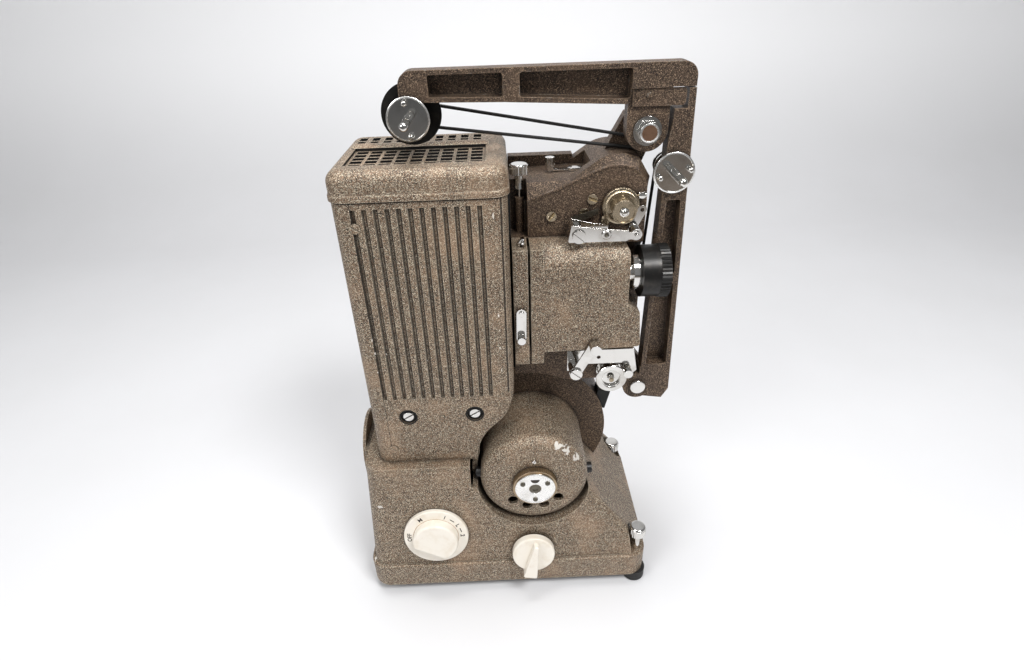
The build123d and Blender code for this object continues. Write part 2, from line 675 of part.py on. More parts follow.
def cover_zone():
    return block(COVER_LEFT, LAMP_RIGHT + 5.0, LAMP_FRONT - 1.0, LAMP_FRONT + COVER_T, BASE_TOP - 1.0, LAMP_TOP + 1.0)


def condenser_tube():
    return rod_x(AXIS_Y, AXIS_Z, CONDENSER_X0, LAMP_RIGHT - 1.0, CONDENSER_R + 3.0)


def lamp_house_body():
    house = lamp_house_outer() - cover_zone()
    wall = LAMP_WALL
    front = LAMP_FRONT + COVER_T + wall
    length = LAMP_RIGHT - LAMP_LEFT - 2 * wall
    width = LAMP_BACK - wall - front
    face = Pos((LAMP_LEFT + LAMP_RIGHT) / 2, (front + LAMP_BACK - wall) / 2, BASE_TOP + wall)
    face = face * RectangleRounded(length, width, LAMP_CORNER_R - wall)
    hollow = extrude(face, amount=LAMP_TOP - BASE_TOP)
    hollow = hollow - slab(motor_corner(-wall), LAMP_FRONT - 5.0, DRUM_FRONT - FIT_GAP + wall)
    house = house - hollow
    house = house + condenser_tube()
    house = house - rod_x(AXIS_Y, AXIS_Z, -60.0, LAMP_RIGHT + 1.0, CONDENSER_R)
    house = house - rod_y(DRUM_X, DRUM_Z, DRUM_FRONT - FIT_GAP, DRUM_BACK + FIT_GAP, DRUM_R + FIT_GAP)
    door = block(COVER_LEFT + 6.0, LAMP_RIGHT - 12.0, LAMP_FRONT - 1.0, front + 1.0, S_HIGH_Z + 4.0, LAMP_TOP - 8.0)
    house = house - door
    for x, z in ADJUSTER_PLACES:
        house = house - rod_y(x, z, LAMP_FRONT - 1.0, front + 1.0, ADJUSTER_R + BOLT_GAP)
    for x, z in COVER_SCREWS:
        house = house - rod_y(x, z, LAMP_FRONT, front + 4.0, 1.6 + BOLT_GAP)
        house = house - rod_y(x, z, LAMP_FRONT - 1.0, LAMP_FRONT + 1.0, COVER_SCREW_R + BOLT_GAP)
    panel_z1 = S_HIGH_Z
    panel = block(LAMP_LEFT - 1.2, LAMP_LEFT + 1.0, LAMP_FRONT + 14.0, LAMP_BACK - 14.0, BASE_TOP + 3.0, panel_z1)
    return house + panel


def lamp_house_front():
    cover = lamp_house_outer() & cover_zone()
    for step in range(GROOVE_COUNT):
        x = GROOVE_FIRST_X + GROOVE_PITCH * step
        half = GROOVE_W / 2
        groove = block(x - half, x + half, LAMP_FRONT - 1.0, LAMP_FRONT + GROOVE_DEPTH,
                       GROOVE_Z0 + half, GROOVE_Z1)
        groove = groove + rod_y(x, GROOVE_Z0 + half, LAMP_FRONT - 1.0, LAMP_FRONT + GROOVE_DEPTH, half)
        cover = cover - groove
    for x, z in ADJUSTER_PLACES:
        cover = cover - rod_y(x, z, LAMP_FRONT - 1.0, LAMP_FRONT + COVER_T + 1.0, ADJUSTER_R + BOLT_GAP)
    for x, z in COVER_SCREWS:
        cover = cover - rod_y(x, z, LAMP_FRONT - 1.0, LAMP_FRONT + COVER_T + 1.0, 1.6 + BOLT_GAP)
        cover = cover - rod_y(x, z, LAMP_FRONT - 1.0, LAMP_FRONT + 1.0, COVER_SCREW_R + BOLT_GAP)
    return cover


def cover_screws():
    pieces = []
    for x, z in COVER_SCREWS:
        screw = rod_y(x, z, LAMP_FRONT - 0.8, LAMP_FRONT + 1.0, COVER_SCREW_R)
        screw = screw + rod_y(x, z, LAMP_FRONT, LAMP_FRONT + COVER_T + LAMP_WALL + 3.0, 1.6)
        slot = Pos(x, LAMP_FRONT - 0.8, z) * (Rot(0, 35, 0) * Box(8.0, 1.2, 0.9))
        pieces.append(screw - slot)
    return pieces


def lamp_adjusters():
    """Slotted round nuts behind two holes of the cover, which set the lamp."""
    pieces = []
    back = LAMP_FRONT + COVER_T + LAMP_WALL + FIT_GAP
    for x, z in ADJUSTER_PLACES:
        nut = rod_y(x, z, LAMP_FRONT + 2.0, back, ADJUSTER_R)
        nut = nut + rod_y(x, z, LAMP_FRONT + 0.6, LAMP_FRONT + 3.0, ADJUSTER_R - 2.3)
        slot = Pos(x, LAMP_FRONT + 0.6, z) * (Rot(0, -30, 0) * Box(14.0, 2.0, 1.2))
        pieces.append(nut - slot)
    return pieces


def lamp_socket():
    """A bracket behind the two adjusters, with a cup for the lamp."""
    back = LAMP_FRONT + COVER_T + LAMP_WALL + FIT_GAP
    upright = block(-84.0, -11.0, back, back + 3.0, 168.0, 195.0)
    shelf = block(-66.0, -27.0, back, 2.0, 192.0, 195.0)
    cup = rod_z(LAMP_X, AXIS_Y, 195.0, 222.0, 17.0) - rod_z(LAMP_X, AXIS_Y, 197.0, 223.0, 14.6)
    return upright + shelf + cup


def lamp_bulb():
    cap = rod_z(LAMP_X, AXIS_Y, 197.0, 228.0, 14.3)
    neck = rod_z(LAMP_X, AXIS_Y, 228.0, 238.0, 13.0)
    glass = rod_z(LAMP_X, AXIS_Y, 238.0, 312.0, 16.0)
    glass = fillet(glass.edges().group_by(Axis.Z)[-1], 14.0)
    return cap + neck + glass


def condenser_lenses():
    """Two plano convex lenses in the tube on the right wall of the lamp house."""
    pieces = []
    r = CONDENSER_R - BOLT_GAP / 2
    for flat_x, side in ((CONDENSER_X0 + 3.0, 1), (CONDENSER_X0 + 22.0, -1)):
        crown_x = flat_x + side * 7.0
        lens = rod_x(AXIS_Y, AXIS_Z, min(flat_x, crown_x), max(flat_x, crown_x), r)
        crown = lens.edges().filter_by(GeomType.CIRCLE).sort_by(Axis.X)[-1 if side > 0 else 0]
        pieces.append(fillet(crown, 5.0))
    return pieces


def cap_footprint(grow, z):
    length = LAMP_RIGHT - LAMP_LEFT + 2 * grow
    width = LAMP_BACK - LAMP_FRONT + 2 * grow
    middle = Pos((LAMP_LEFT + LAMP_RIGHT) / 2, (LAMP_FRONT + LAMP_BACK) / 2, z)
    return middle * RectangleRounded(length, width, LAMP_CORNER_R + grow)


def lamp_house_cap():
    top = extrude(cap_footprint(CAP_LIP - 0.7, LAMP_TOP), amount=CAP_TOP - LAMP_TOP)
    top = fillet(top.edges().group_by(Axis.Z)[-1], CAP_EDGE_R)
    lip = extrude(cap_footprint(CAP_LIP, LAMP_TOP), amount=4.5)
    lip = fillet(lip.edges().group_by(Axis.Z)[-1], 1.6)
    cap = top + lip
    inner = extrude(cap_footprint(-CAP_WALL, LAMP_TOP - 1.0), amount=CAP_TOP - CAP_WALL - LAMP_TOP + 1.0)
    cap = cap - fillet(inner.edges().group_by(Axis.Z)[-1], 2.0)
    ridge_r = 14.0
    ridge_y = (GRILLE_Y1 + REAR_SLOT_Y0) / 2
    ridge = rod_x(ridge_y, CAP_TOP + 2.0 - ridge_r, GRILLE_X0 - 2.0, GRILLE_X1 + 2.0, ridge_r)
    above = block(GRILLE_X0 - 3.0, GRILLE_X1 + 3.0, GRILLE_Y1, REAR_SLOT_Y0, CAP_TOP - 1.0, CAP_TOP + 5.0)
    cap = cap + (ridge & above)
    cap = cap - block(GRILLE_X0, GRILLE_X1, GRILLE_Y0, GRILLE_Y1, CAP_TOP - 10.0, CAP_TOP + 5.0)
    count = 10
    pitch = (GRILLE_X1 - GRILLE_X0 + 2.0) / count
    middle_y = (REAR_SLOT_Y0 + REAR_SLOT_Y1) / 2
    for step in range(count):
        x = GRILLE_X0 - 2.0 + pitch * step
        for y0, y1 in ((REAR_SLOT_Y0, middle_y - 1.2), (middle_y + 1.2, REAR_SLOT_Y1)):
            cap = cap - block(x, x + pitch - 3.6, y0, y1, CAP_TOP - 10.0, CAP_TOP + 1.0)
    return cap


def cap_grille():
    z0 = CAP_TOP - CAP_WALL - 2.0
    z1 = CAP_TOP - 1.5
    rim = block(GRILLE_X0 - 3.0, GRILLE_X1 + 3.0, GRILLE_Y0 - 3.0, GRILLE_Y1 + 3.0, z0, CAP_TOP - CAP_WALL)
    gap = FIT_GAP
    grille = rim + block(GRILLE_X0 + gap, GRILLE_X1 - gap, GRILLE_Y0 + gap, GRILLE_Y1 - gap, z0, z1)
    columns = 9
    rows = 5
    pitch_x = (GRILLE_X1 - GRILLE_X0 - 2.0) / columns
    pitch_y = (GRILLE_Y1 - GRILLE_Y0 - 2.0) / rows
    for column in range(columns):
        for row in range(rows):
            x = GRILLE_X0 + 2.0 + pitch_x * column
            y = GRILLE_Y0 + 2.0 + pitch_y * row
            grille = grille - block(x, x + pitch_x - 2.0, y, y + pitch_y - 2.0, z0 - 1.0, z1 + 1.0)
    return grille


def shoulder(points, left_z, right_x):
    """The closed outline of the mechanism head through its six named top points."""
    a, b, c, d, e, f = points
    edges = [
        Line((MECH_NOTCH_X, left_z), a),
        Line(a, b),
        Line(b, c),
        ThreePointArc(c, d, e),
        Line(e, f),
        Line(f, (right_x, 335.0)),
        Line((right_x, 335.0), (right_x, left_z)),
        Line((right_x, left_z), (MECH_NOTCH_X, left_z)),
    ]
    return make_face(edges)


CREASE_POINTS = ((24.0, 337.0), (48.2, 346.3), (73.3, 357.6), (86.5, 360.0), (99.8, 356.5), (106.4, 345.9))
HEAD_POINTS = ((24.0, LEDGE_Z - 1.0), (54.0, LEDGE_Z), (74.0, 363.0), (86.5, 366.3), (101.0, 363.0), (109.0, 350.0))


def lens_recess(extra):
    """Room in the casting for the lens flange and the focus ring."""
    return rod_x(AXIS_Y, AXIS_Z, BARREL_X0 - 3.0 - extra, MECH_RIGHT + 5.0, RING_R + 1.6 + extra)


def mech_outline(grow):
    """The lower body of the mechanism casting, in X and Z."""
    right = MECH_RIGHT + grow
    face = polygon(
        (MECH_LEFT - grow, MECH_BOTTOM - grow), (right, MECH_BOTTOM - grow),
        (right, 335.0), (MECH_NOTCH_X - grow, 335.0),
        (MECH_NOTCH_X - grow, MECH_NOTCH_Z + grow), (MECH_LEFT - grow, MECH_NOTCH_Z + grow))
    return face


def mechanism_casting():
    crease_y = MECH_FRONT + MECH_CREASE
    front_face = front_plane(MECH_FRONT) * shoulder(CREASE_POINTS, 320.0, MECH_RIGHT)
    back_face = front_plane(crease_y) * shoulder(HEAD_POINTS, 320.0, MECH_RIGHT)
    body = loft([front_face, back_face], ruled=True)
    body = body + slab(shoulder(HEAD_POINTS, 320.0, MECH_RIGHT), crease_y, MECH_BACK)
    body = body + slab(mech_outline(0), MECH_FRONT, MECH_BACK)
    body = body + block(MECH_LEFT, MECH_NOTCH_X + 1.0, 7.0, MECH_BACK, MECH_NOTCH_Z - 2.0, LEDGE_Z - 1.0)
    body = body + block(MECH_LEFT, 60.0, REAR_WALL_Y, MECH_BACK, LEDGE_Z - 8.0, REAR_WALL_TOP)
    body = body - block(50.0, 69.0, 5.0, REAR_WALL_Y, LEDGE_Z, LEDGE_Z + 30.0)
    wall = MECH_WALL
    hollow = slab(mech_outline(-wall), MECH_FRONT + wall, MECH_BACK + 1.0)
    top = polygon((28.0, 330.0), (28.0, LEDGE_Z - 6.0), (56.0, LEDGE_Z - 6.0), (70.0, LEDGE_Z - 5.0),
                  (78.0, 357.0), (97.0, 357.0), (103.0, 348.0), (103.0, 330.0))
    hollow = hollow + slab(top, MECH_FRONT + wall + 2.0, MECH_BACK + 1.0)
    hollow = hollow - lens_recess(3.0)
    rib = block(40.0, 44.0, MECH_FRONT, MECH_BACK - 6.0, 205.0, 320.0)
    rib_right = block(96.0, 100.0, MECH_FRONT, MECH_BACK - 6.0, 235.0, 262.0)
    body = body - (hollow - rib - rib_right)
    body = body - lens_recess(0)
    body = body - rod_y(DRUM_X, DRUM_Z, MECH_FRONT - 1.0, MECH_BACK + 1.0, DRUM_R + FIT_GAP)
    disc_gap = SHUTTER_R + SHUTTER_GAP
    body = body - rod_x(SHUTTER_Y, SHUTTER_Z, SHUTTER_X - SHUTTER_GAP, SHUTTER_X + SHUTTER_T + SHUTTER_GAP,
                        disc_gap)
    body = body - rod_x(SHUTTER_Y, SHUTTER_Z, 30.0, 97.0, SHAFT_R + RUN_FIT)
    for x, z in (UPPER_SPROCKET, LOWER_SPROCKET):
        body = body + rod_y(x, z, MECH_FRONT, MECH_FRONT + 9.0, 6.0)
        body = body - rod_y(x, z, MECH_FRONT - 1.0, MECH_FRONT + 12.0, SHAFT_R + RUN_FIT)
    body = body + rod_y(PULLEY_X, PULLEY_Z, MECH_FRONT + 1.0, MECH_FRONT + 9.0, 6.0)
    body = body - rod_y(PULLEY_X, PULLEY_Z, MECH_FRONT + 3.0, MECH_FRONT + 12.0, SHAFT_R + RUN_FIT)
    tube = rod_z(FRAMING_X, FRAMING_Y, MECH_NOTCH_Z - 1.0, 337.0, 3.3)
    web = block(FRAMING_X, MECH_NOTCH_X + 1.0, FRAMING_Y - 1.5, FRAMING_Y + 1.5, MECH_NOTCH_Z - 1.0, 335.0)
    body = body + tube + web
    body = body - rod_z(FRAMING_X, FRAMING_Y, 313.0, 340.0, 1.3 + RUN_FIT)
    lug = polygon((96.0, MECH_BOTTOM + 1.0), (MECH_RIGHT, 205.0), (122.0, 184.0), (122.0, 168.0), (106.0, 165.0),
                  (92.0, 180.0))
    body = body + slab(lug, BRACKET_Y0, BRACKET_Y1)
    belt_room = ARM_BELT_R + 2 * FIT_GAP
    body = body - block(MECH_RIGHT - 2.6, MECH_RIGHT + 2.0, ARM_BELT_Y - belt_room, ARM_BELT_Y + belt_room,
                        MECH_BOTTOM - 1.0, MECH_BOTTOM + 34.0)
    body = body - rod_y(TAKE_PIVOT[0], TAKE_PIVOT[1], BRACKET_Y0 - 1.0, BRACKET_Y1 + 1.0, PIVOT_R + BOLT_GAP / 2)
    body = body - rod_z(CLUTCH_X, CLUTCH_Y, LEDGE_Z - 20.0, LEDGE_Z + 1.0, 2.0 + RUN_FIT)
    for x, z in (UPPER_PIVOT, LOWER_PIVOT):
        body = body - rod_y(x, z, MECH_FRONT - 1.0, MECH_FRONT + 3.0, POST_R + BOLT_GAP / 2)
    for x, z in CASTING_SCREWS:
        body = body - rod_y(x, z, MECH_FRONT - 1.0, MECH_FRONT + 2.0, 1.6 + BOLT_GAP)
    return body


CASTING_SCREWS = ((40.7, 326.2), (69.0, 337.4), (63.5, 327.6))


def casting_screws():
    pieces = []
    for x, z in CASTING_SCREWS:
        screw = rod_y(x, z, MECH_FRONT - 1.6, MECH_FRONT, 3.6)
        screw = screw + rod_y(x, z, MECH_FRONT, MECH_FRONT + 1.9, 1.6)
        slot = Pos(x, MECH_FRONT - 1.6, z) * (Rot(0, 20, 0) * Box(8.0, 1.4, 0.9))
        pieces.append(screw - slot)
    return pieces


def rear_cover():
    """A shallow box that closes the back of the casting and covers the drive belt."""
    top = LEDGE_Z - 1.0
    skin = 3.0
    leg_low_x = SLOPE_TOP_X
    leg_high_x = 69.5
    outline = polygon((MECH_LEFT, BASE_TOP), (leg_low_x, BASE_TOP), (leg_high_x, MECH_BOTTOM),
                      (MECH_RIGHT, MECH_BOTTOM), (MECH_RIGHT, top), (MECH_LEFT, top))
    cover = slab(outline, MECH_BACK, COVER_BACK)
    cover = fillet(cover.edges().group_by(Axis.Y)[-1], 2.5)
    room_y0 = MECH_BACK + skin - 0.5
    room = block(MECH_LEFT + skin, MECH_RIGHT - skin, room_y0, COVER_BACK - skin,
                 MECH_BOTTOM + skin, top - skin)
    leg = polygon((MECH_LEFT + skin, BASE_TOP - 1.0), (leg_low_x - skin, BASE_TOP - 1.0),
                  (leg_high_x - skin, MECH_BOTTOM + 2 * skin), (MECH_LEFT + skin, MECH_BOTTOM + 2 * skin))
    cover = cover - room - slab(leg, room_y0, COVER_BACK - skin)
    for x, z in (UPPER_SPROCKET, LOWER_SPROCKET, (PULLEY_X, PULLEY_Z)):
        cover = cover - rod_y(x, z, MECH_BACK - 1.0, MECH_BACK + 4.0, SHAFT_R + RUN_FIT)
    for row in range(6):
        z = 215.0 + 8.0 * row
        cover = cover - block(78.0, 98.0, COVER_BACK - 4.0, COVER_BACK + 1.0, z, z + 3.0)
    return cover


def drive_shaft():
    """Cross shaft with the large belt pulley and a skew gear for the shutter."""
    shaft = rod_y(PULLEY_X, PULLEY_Z, MECH_FRONT + 3.3, BELT_Y + 2.5, SHAFT_R)
    gear = rod_y(PULLEY_X, PULLEY_Z, SHUTTER_Y - 4.0, SHUTTER_Y + 4.0, 9.6)
    for step in range(14):
        x, z = polar(PULLEY_X, PULLEY_Z, 9.6, 360.0 * step / 14)
        gear = gear - rod_y(x, z, SHUTTER_Y - 5.0, SHUTTER_Y + 5.0, 0.9)
    wheel = rod_y(PULLEY_X, PULLEY_Z, BELT_Y - 1.4, BELT_Y + 2.5, PULLEY_R)
    groove = Pos(PULLEY_X, BELT_Y, PULLEY_Z) * (Rot(90, 0, 0) * Torus(PULLEY_R, BELT_R + FIT_GAP))
    return shaft + gear + (wheel - groove)


def shutter():
    """Three blades on the long shaft, with a skew gear."""
    blade = rod_x(SHUTTER_Y, SHUTTER_Z, SHUTTER_X, SHUTTER_X + SHUTTER_T, SHUTTER_R)
    window = rod_x(SHUTTER_Y, SHUTTER_Z, SHUTTER_X - 1.0, SHUTTER_X + 3.0, SHUTTER_R + 1.0)
    window = window - rod_x(SHUTTER_Y, SHUTTER_Z, SHUTTER_X - 2.0, SHUTTER_X + 4.0, 22.0)
    for turn in (90.0, 210.0, 330.0):
        y, z = polar(SHUTTER_Y, SHUTTER_Z, 30.0, turn)
        sector = Pos(SHUTTER_X, y, z) * (Rot(turn - 90.0, 0, 0) * Box(8.0, 34.0, 40.0))
        blade = blade - (window & sector)
    hub = rod_x(SHUTTER_Y, SHUTTER_Z, SHUTTER_X, SHUTTER_X + 5.0, 8.0)
    shaft = rod_x(SHUTTER_Y, SHUTTER_Z, SHUTTER_X + 4.0, 70.0, SHAFT_R)
    gear = rod_x(SHUTTER_Y, SHUTTER_Z, PULLEY_X - 4.0, PULLEY_X + 4.0, 9.6)
    for step in range(14):
        y, z = polar(SHUTTER_Y, SHUTTER_Z, 9.6, 360.0 * step / 14)
        gear = gear - rod_x(y, z, PULLEY_X - 5.0, PULLEY_X + 5.0, 0.9)
    return blade + hub + shaft + gear


def sprocket(place, front_disc_r, back_flange_r):
    x, z = place
    drum = rod_y(x, z, SPROCKET_FRONT, SPROCKET_BACK, SPROCKET_R)
    for row_y in (SPROCKET_FRONT + 1.6, SPROCKET_BACK - 2.6):
        for step in range(SPROCKET_TEETH):
            angle = 360.0 * step / SPROCKET_TEETH
            tx, tz = polar(x, z, SPROCKET_R, angle)
            drum = drum + Pos(tx, row_y, tz) * (Rot(0, -angle, 0) * Box(2.2, 1.0, 1.4))
    drum = drum + rod_y(x, z, SPROCKET_BACK, SPROCKET_BACK + 1.5, back_flange_r)
    if front_disc_r > SPROCKET_R:
        drum = drum + rod_y(x, z, SPROCKET_FRONT - 1.0, SPROCKET_FRONT, front_disc_r)
        drum = drum - rod_y(x, z, SPROCKET_FRONT - 1.1, SPROCKET_FRONT + 1.0, SPROCKET_R - 1.0)
    drum = drum + rod_y(x, z, SPROCKET_FRONT - 2.2, SPROCKET_FRONT + 2.0, 2.1)
    shaft = rod_y(x, z, SPROCKET_BACK, MECH_BACK + 3.5, SHAFT_R)
    wheel = rod_y(x, z, CHAIN_Y - 1.5, CHAIN_Y + 1.5, CHAIN_WHEEL_R)
    return drum + shaft + wheel


def upper_sprocket():
    return sprocket(UPPER_SPROCKET, 0.0, SPROCKET_FLANGE_R)


def lower_sprocket():
    return sprocket(LOWER_SPROCKET, LOWER_DISC_R, SPROCKET_FLANGE_R - 3.0)


def tangent_path(a, ra, b, rb):
    """The closed path of a belt round two circles, as edges in X and Z."""
    dx = b[0] - a[0]
    dz = b[1] - a[1]
    span = math.hypot(dx, dz)
    along = math.degrees(math.atan2(dz, dx))
    lean = math.degrees(math.acos((ra - rb) / span))
    up = along + lean
    down = along - lean
    a_up = polar(a[0], a[1], ra, up)
    a_down = polar(a[0], a[1], ra, down)
    b_up = polar(b[0], b[1], rb, up)
    b_down = polar(b[0], b[1], rb, down)
    a_far = polar(a[0], a[1], ra, along + 180.0)
    b_far = polar(b[0], b[1], rb, along)
    return [
        Line(a_up, b_up),
        ThreePointArc(b_up, b_far, b_down),
        Line(b_down, a_down),
        ThreePointArc(a_down, a_far, a_up),
    ]


def round_belt(a, ra, b, rb, y, belt_r):
    """A round belt swept along its closed path, in the plane at depth y."""
    edges = tangent_path(a, ra, b, rb)
    path = front_plane(y) * Wire(edges)
    section = Plane(origin=path @ 0, z_dir=path % 0) * Circle(belt_r)
    return sweep(section, path=path)


def drive_belt():
    return round_belt((MOTOR_X, MOTOR_Z), MOTOR_PULLEY_R, (PULLEY_X, PULLEY_Z), PULLEY_R, BELT_Y, BELT_R)


def gate_block():
    """The fixed half of the film gate, with the aperture plate on its right."""
    body = block(MECH_LEFT, GATE_X1, HOUSING_FRONT, MECH_FRONT, GATE_Z0, MECH_NOTCH_Z)
    body = body - rod_x(AXIS_Y, AXIS_Z, MECH_LEFT - 1.0, GATE_X1 - 1.5, 7.0)
    half_w = 5.2
    half_h = 3.8
    body = body - block(MECH_LEFT, GATE_X1 + 2.0, AXIS_Y - half_w, AXIS_Y + half_w, AXIS_Z - half_h, AXIS_Z + half_h)
    body = body - rod_x(SHUTTER_Y, SHUTTER_Z, SHUTTER_X - SHUTTER_GAP, SHUTTER_X + SHUTTER_T + SHUTTER_GAP,
                        SHUTTER_R + SHUTTER_GAP)
    plate = block(GATE_X1, GATE_X1 + 0.6, AXIS_Y - 8.0, AXIS_Y + 8.0, GATE_Z0 + 8.0, MECH_NOTCH_Z - 8.0)
    plate = plate - block(GATE_X1 - 1.0, GATE_X1 + 2.0, AXIS_Y - half_w, AXIS_Y + half_w,
                          AXIS_Z - half_h, AXIS_Z + half_h)
    body = body + plate
    bore_r = 2.0 + RUN_FIT
    return body - rod_y(LEVER_X, LEVER_Z, HOUSING_FRONT - 1.0, HOUSING_FRONT + 2.2, bore_r)


def gate_lever():
    tip = (LEVER_X - 0.4, LEVER_Z - LEVER_LENGTH)
    front = HOUSING_FRONT - 2.3
    lever = slab(capsule((LEVER_X, LEVER_Z), tip, LEVER_R), front, HOUSING_FRONT - FIT_GAP)
    lever = lever + rod_y(LEVER_X, LEVER_Z, front - 1.2, HOUSING_FRONT + 2.0, 2.0)
    lever = lever + rod_y(tip[0], tip[1], front - 5.5, front, 3.0)
    return lever


def housing_outline(grow):
    x0 = GATE_X1 + FILM_GAP - grow
    strip = HOUSING_STRIP_X
    foot = HOUSING_FOOT_X + grow
    face = polygon(
        (x0, GATE_Z0 - grow), (strip, GATE_Z0 - grow), (strip, HOUSING_Z0 - grow), (foot, HOUSING_Z0 + 2.0 - grow),
        (103.3 + grow, 259.5), (95.6 + grow, 265.7 + grow), (HOUSING_RIGHT + grow, 266.5),
        (HOUSING_RIGHT + grow, MECH_NOTCH_Z + grow), (x0, MECH_NOTCH_Z + grow))
    return face


def lens_housing():
    """The swing front of the gate, which carries the lens and draws away from the film."""
    back = MECH_FRONT - FIT_GAP
    face = housing_outline(0)
    face = round_near(face, [(HOUSING_RIGHT, MECH_NOTCH_Z)], 7.0)
    face = round_near(face, [(HOUSING_FOOT_X, HOUSING_Z0 + 2.0), (103.3, 259.5)], 2.5)
    body = slab(face, HOUSING_FRONT, back)
    arc_y = HOUSING_FRONT + HOUSING_EDGE_R
    arc_z = MECH_NOTCH_Z - HOUSING_EDGE_R
    corner = block(HOUSING_STRIP_X, HOUSING_RIGHT + 20.0, HOUSING_FRONT - 1.0, arc_y, arc_z, MECH_NOTCH_Z + 1.0)
    corner = corner - rod_x(arc_y, arc_z, HOUSING_STRIP_X - 1.0, HOUSING_RIGHT + 21.0, HOUSING_EDGE_R)
    body = body - corner
    body = body - rod_x(AXIS_Y, AXIS_Z, GATE_X1, HOUSING_RIGHT + 1.0, BARREL_R + RUN_FIT)
    pad = block(GATE_X1 + FILM_GAP - 0.8, GATE_X1 + FILM_GAP, AXIS_Y - 7.0, AXIS_Y + 7.0, 240.0, 305.0)
    pad = pad - rod_x(AXIS_Y, AXIS_Z, GATE_X1 - 2.0, HOUSING_STRIP_X, BARREL_R + RUN_FIT)
    return body + pad


def lens_barrel():
    """The lens mount that slides in the housing, with its chrome flange and front glass."""
    barrel = rod_x(AXIS_Y, AXIS_Z, 50.0, BARREL_X0 + 1.0, BARREL_R)
    barrel = barrel + rod_x(AXIS_Y, AXIS_Z, BARREL_X0, RING_X0, BARREL_FLANGE_R)
    barrel = barrel + rod_x(AXIS_Y, AXIS_Z, RING_X0, RING_X1 - 3.0, BARREL_FLANGE_R - 1.0)
    barrel = barrel - rod_x(AXIS_Y, AXIS_Z, 49.0, RING_X0, BARREL_R - 1.5)
    return barrel


def focus_ring():
    ring = rod_x(AXIS_Y, AXIS_Z, RING_X0 + FIT_GAP, RING_X1 - 7.0, RING_R - 0.6)
    grip = Pos(RING_X1 - 7.0, AXIS_Y, AXIS_Z) * (Rot(0, 90, 0) * knurled(RING_R, 7.0, 44, 0.6))
    ring = ring + grip
    ring = ring - rod_x(AXIS_Y, AXIS_Z, RING_X0, RING_X1 - 2.0, BARREL_FLANGE_R - 1.0 + RUN_FIT)
    cone_r = 14.5
    return ring - rod_x(AXIS_Y, AXIS_Z, RING_X1 - 2.5, RING_X1 + 1.0, cone_r)


def upper_keeper():
    """A chrome channel that holds the film to the upper sprocket."""
    front = polygon((50.4, 313.8), (90.5, 313.5), (93.5, 315.5), (91.5, 321.0), (70.0, 323.5), (52.5, 325.9))
    front = fillet(front.vertices(), 1.0)
    keeper = slab(front, -30.2, -29.0)
    rear = polygon((50.4, 314.8), (80.0, 317.6), (80.0, 320.5), (70.0, 321.5), (52.5, 325.9))
    keeper = keeper + slab(rear, -15.6, -14.4)
    end = polygon((50.4, 314.8), (51.8, 314.8), (53.9, 325.9), (52.5, 325.9))
    keeper = keeper + slab(end, -30.0, -14.5)
    keeper = keeper + rod_y(UPPER_ROLLER[0], UPPER_ROLLER[1], -32.0, -13.0, ROLLER_PIN_R)
    arm = capsule((88.0, 317.3), UPPER_ROLLER, 2.6)
    keeper = keeper + slab(arm, -30.2, -29.0)
    link = capsule(UPPER_ROLLER, (103.4, 329.8), 3.2) - disc(103.4, 329.8, 1.4)
    keeper = keeper + slab(link, -14.5, -13.3)
    keeper = keeper - rod_y(76.4, 319.0, -31.0, -28.0, 1.5)
    return keeper - rod_y(UPPER_PIVOT[0], UPPER_PIVOT[1], -31.0, -12.0, POST_R + RUN_FIT)


def lower_keeper():
    """A chrome plate with a lever that holds the film to the lower sprocket."""
    face = polygon((52.5, 203.0), (66.0, 203.0), (66.0, 208.8), (97.0, 208.8), (97.0, 199.5), (104.5, 198.5),
                   (107.5, 201.5), (104.0, 221.5), (52.5, 221.5))
    keeper = slab(face, -24.0, -22.8)
    lever = capsule(LOWER_PIVOT, (71.0, 234.0), 3.8)
    keeper = keeper + slab(lever, -37.0, -35.4)
    keeper = keeper + rod_y(71.0, 234.0, -45.0, -37.0, 4.2)
    sleeve = rod_y(LOWER_PIVOT[0], LOWER_PIVOT[1], -36.0, -23.0, 5.0)
    keeper = keeper + sleeve
    keeper = keeper + rod_y(LOWER_ROLLER[0], LOWER_ROLLER[1], -27.0, -13.4, ROLLER_PIN_R)
    keeper = keeper + rod_y(LOWER_ROLLER[0], LOWER_ROLLER[1], -31.0, -26.6, ROLLER_R - 0.4)
    keeper = keeper - rod_y(77.0, 214.7, -26.0, -20.0, 1.5)
    return keeper - rod_y(LOWER_PIVOT[0], LOWER_PIVOT[1], -40.0, -12.0, POST_R + RUN_FIT)


def film_roller(place, y0, y1, r):
    roller = rod_y(place[0], place[1], y0, y1, r)
    roller = roller - (rod_y(place[0], place[1], y0 + 2.5, y1 - 2.5, r + 1.0)
                       - rod_y(place[0], place[1], y0 + 2.4, y1 - 2.4, r - 0.5))
    return roller - rod_y(place[0], place[1], y0 - 1.0, y1 + 1.0, ROLLER_PIN_R + RUN_FIT)


def upper_roller():
    return film_roller(UPPER_ROLLER, -28.7, -16.0, ROLLER_R)


def lower_roller():
    return film_roller(LOWER_ROLLER, -22.5, -13.8, ROLLER_R - 0.8)


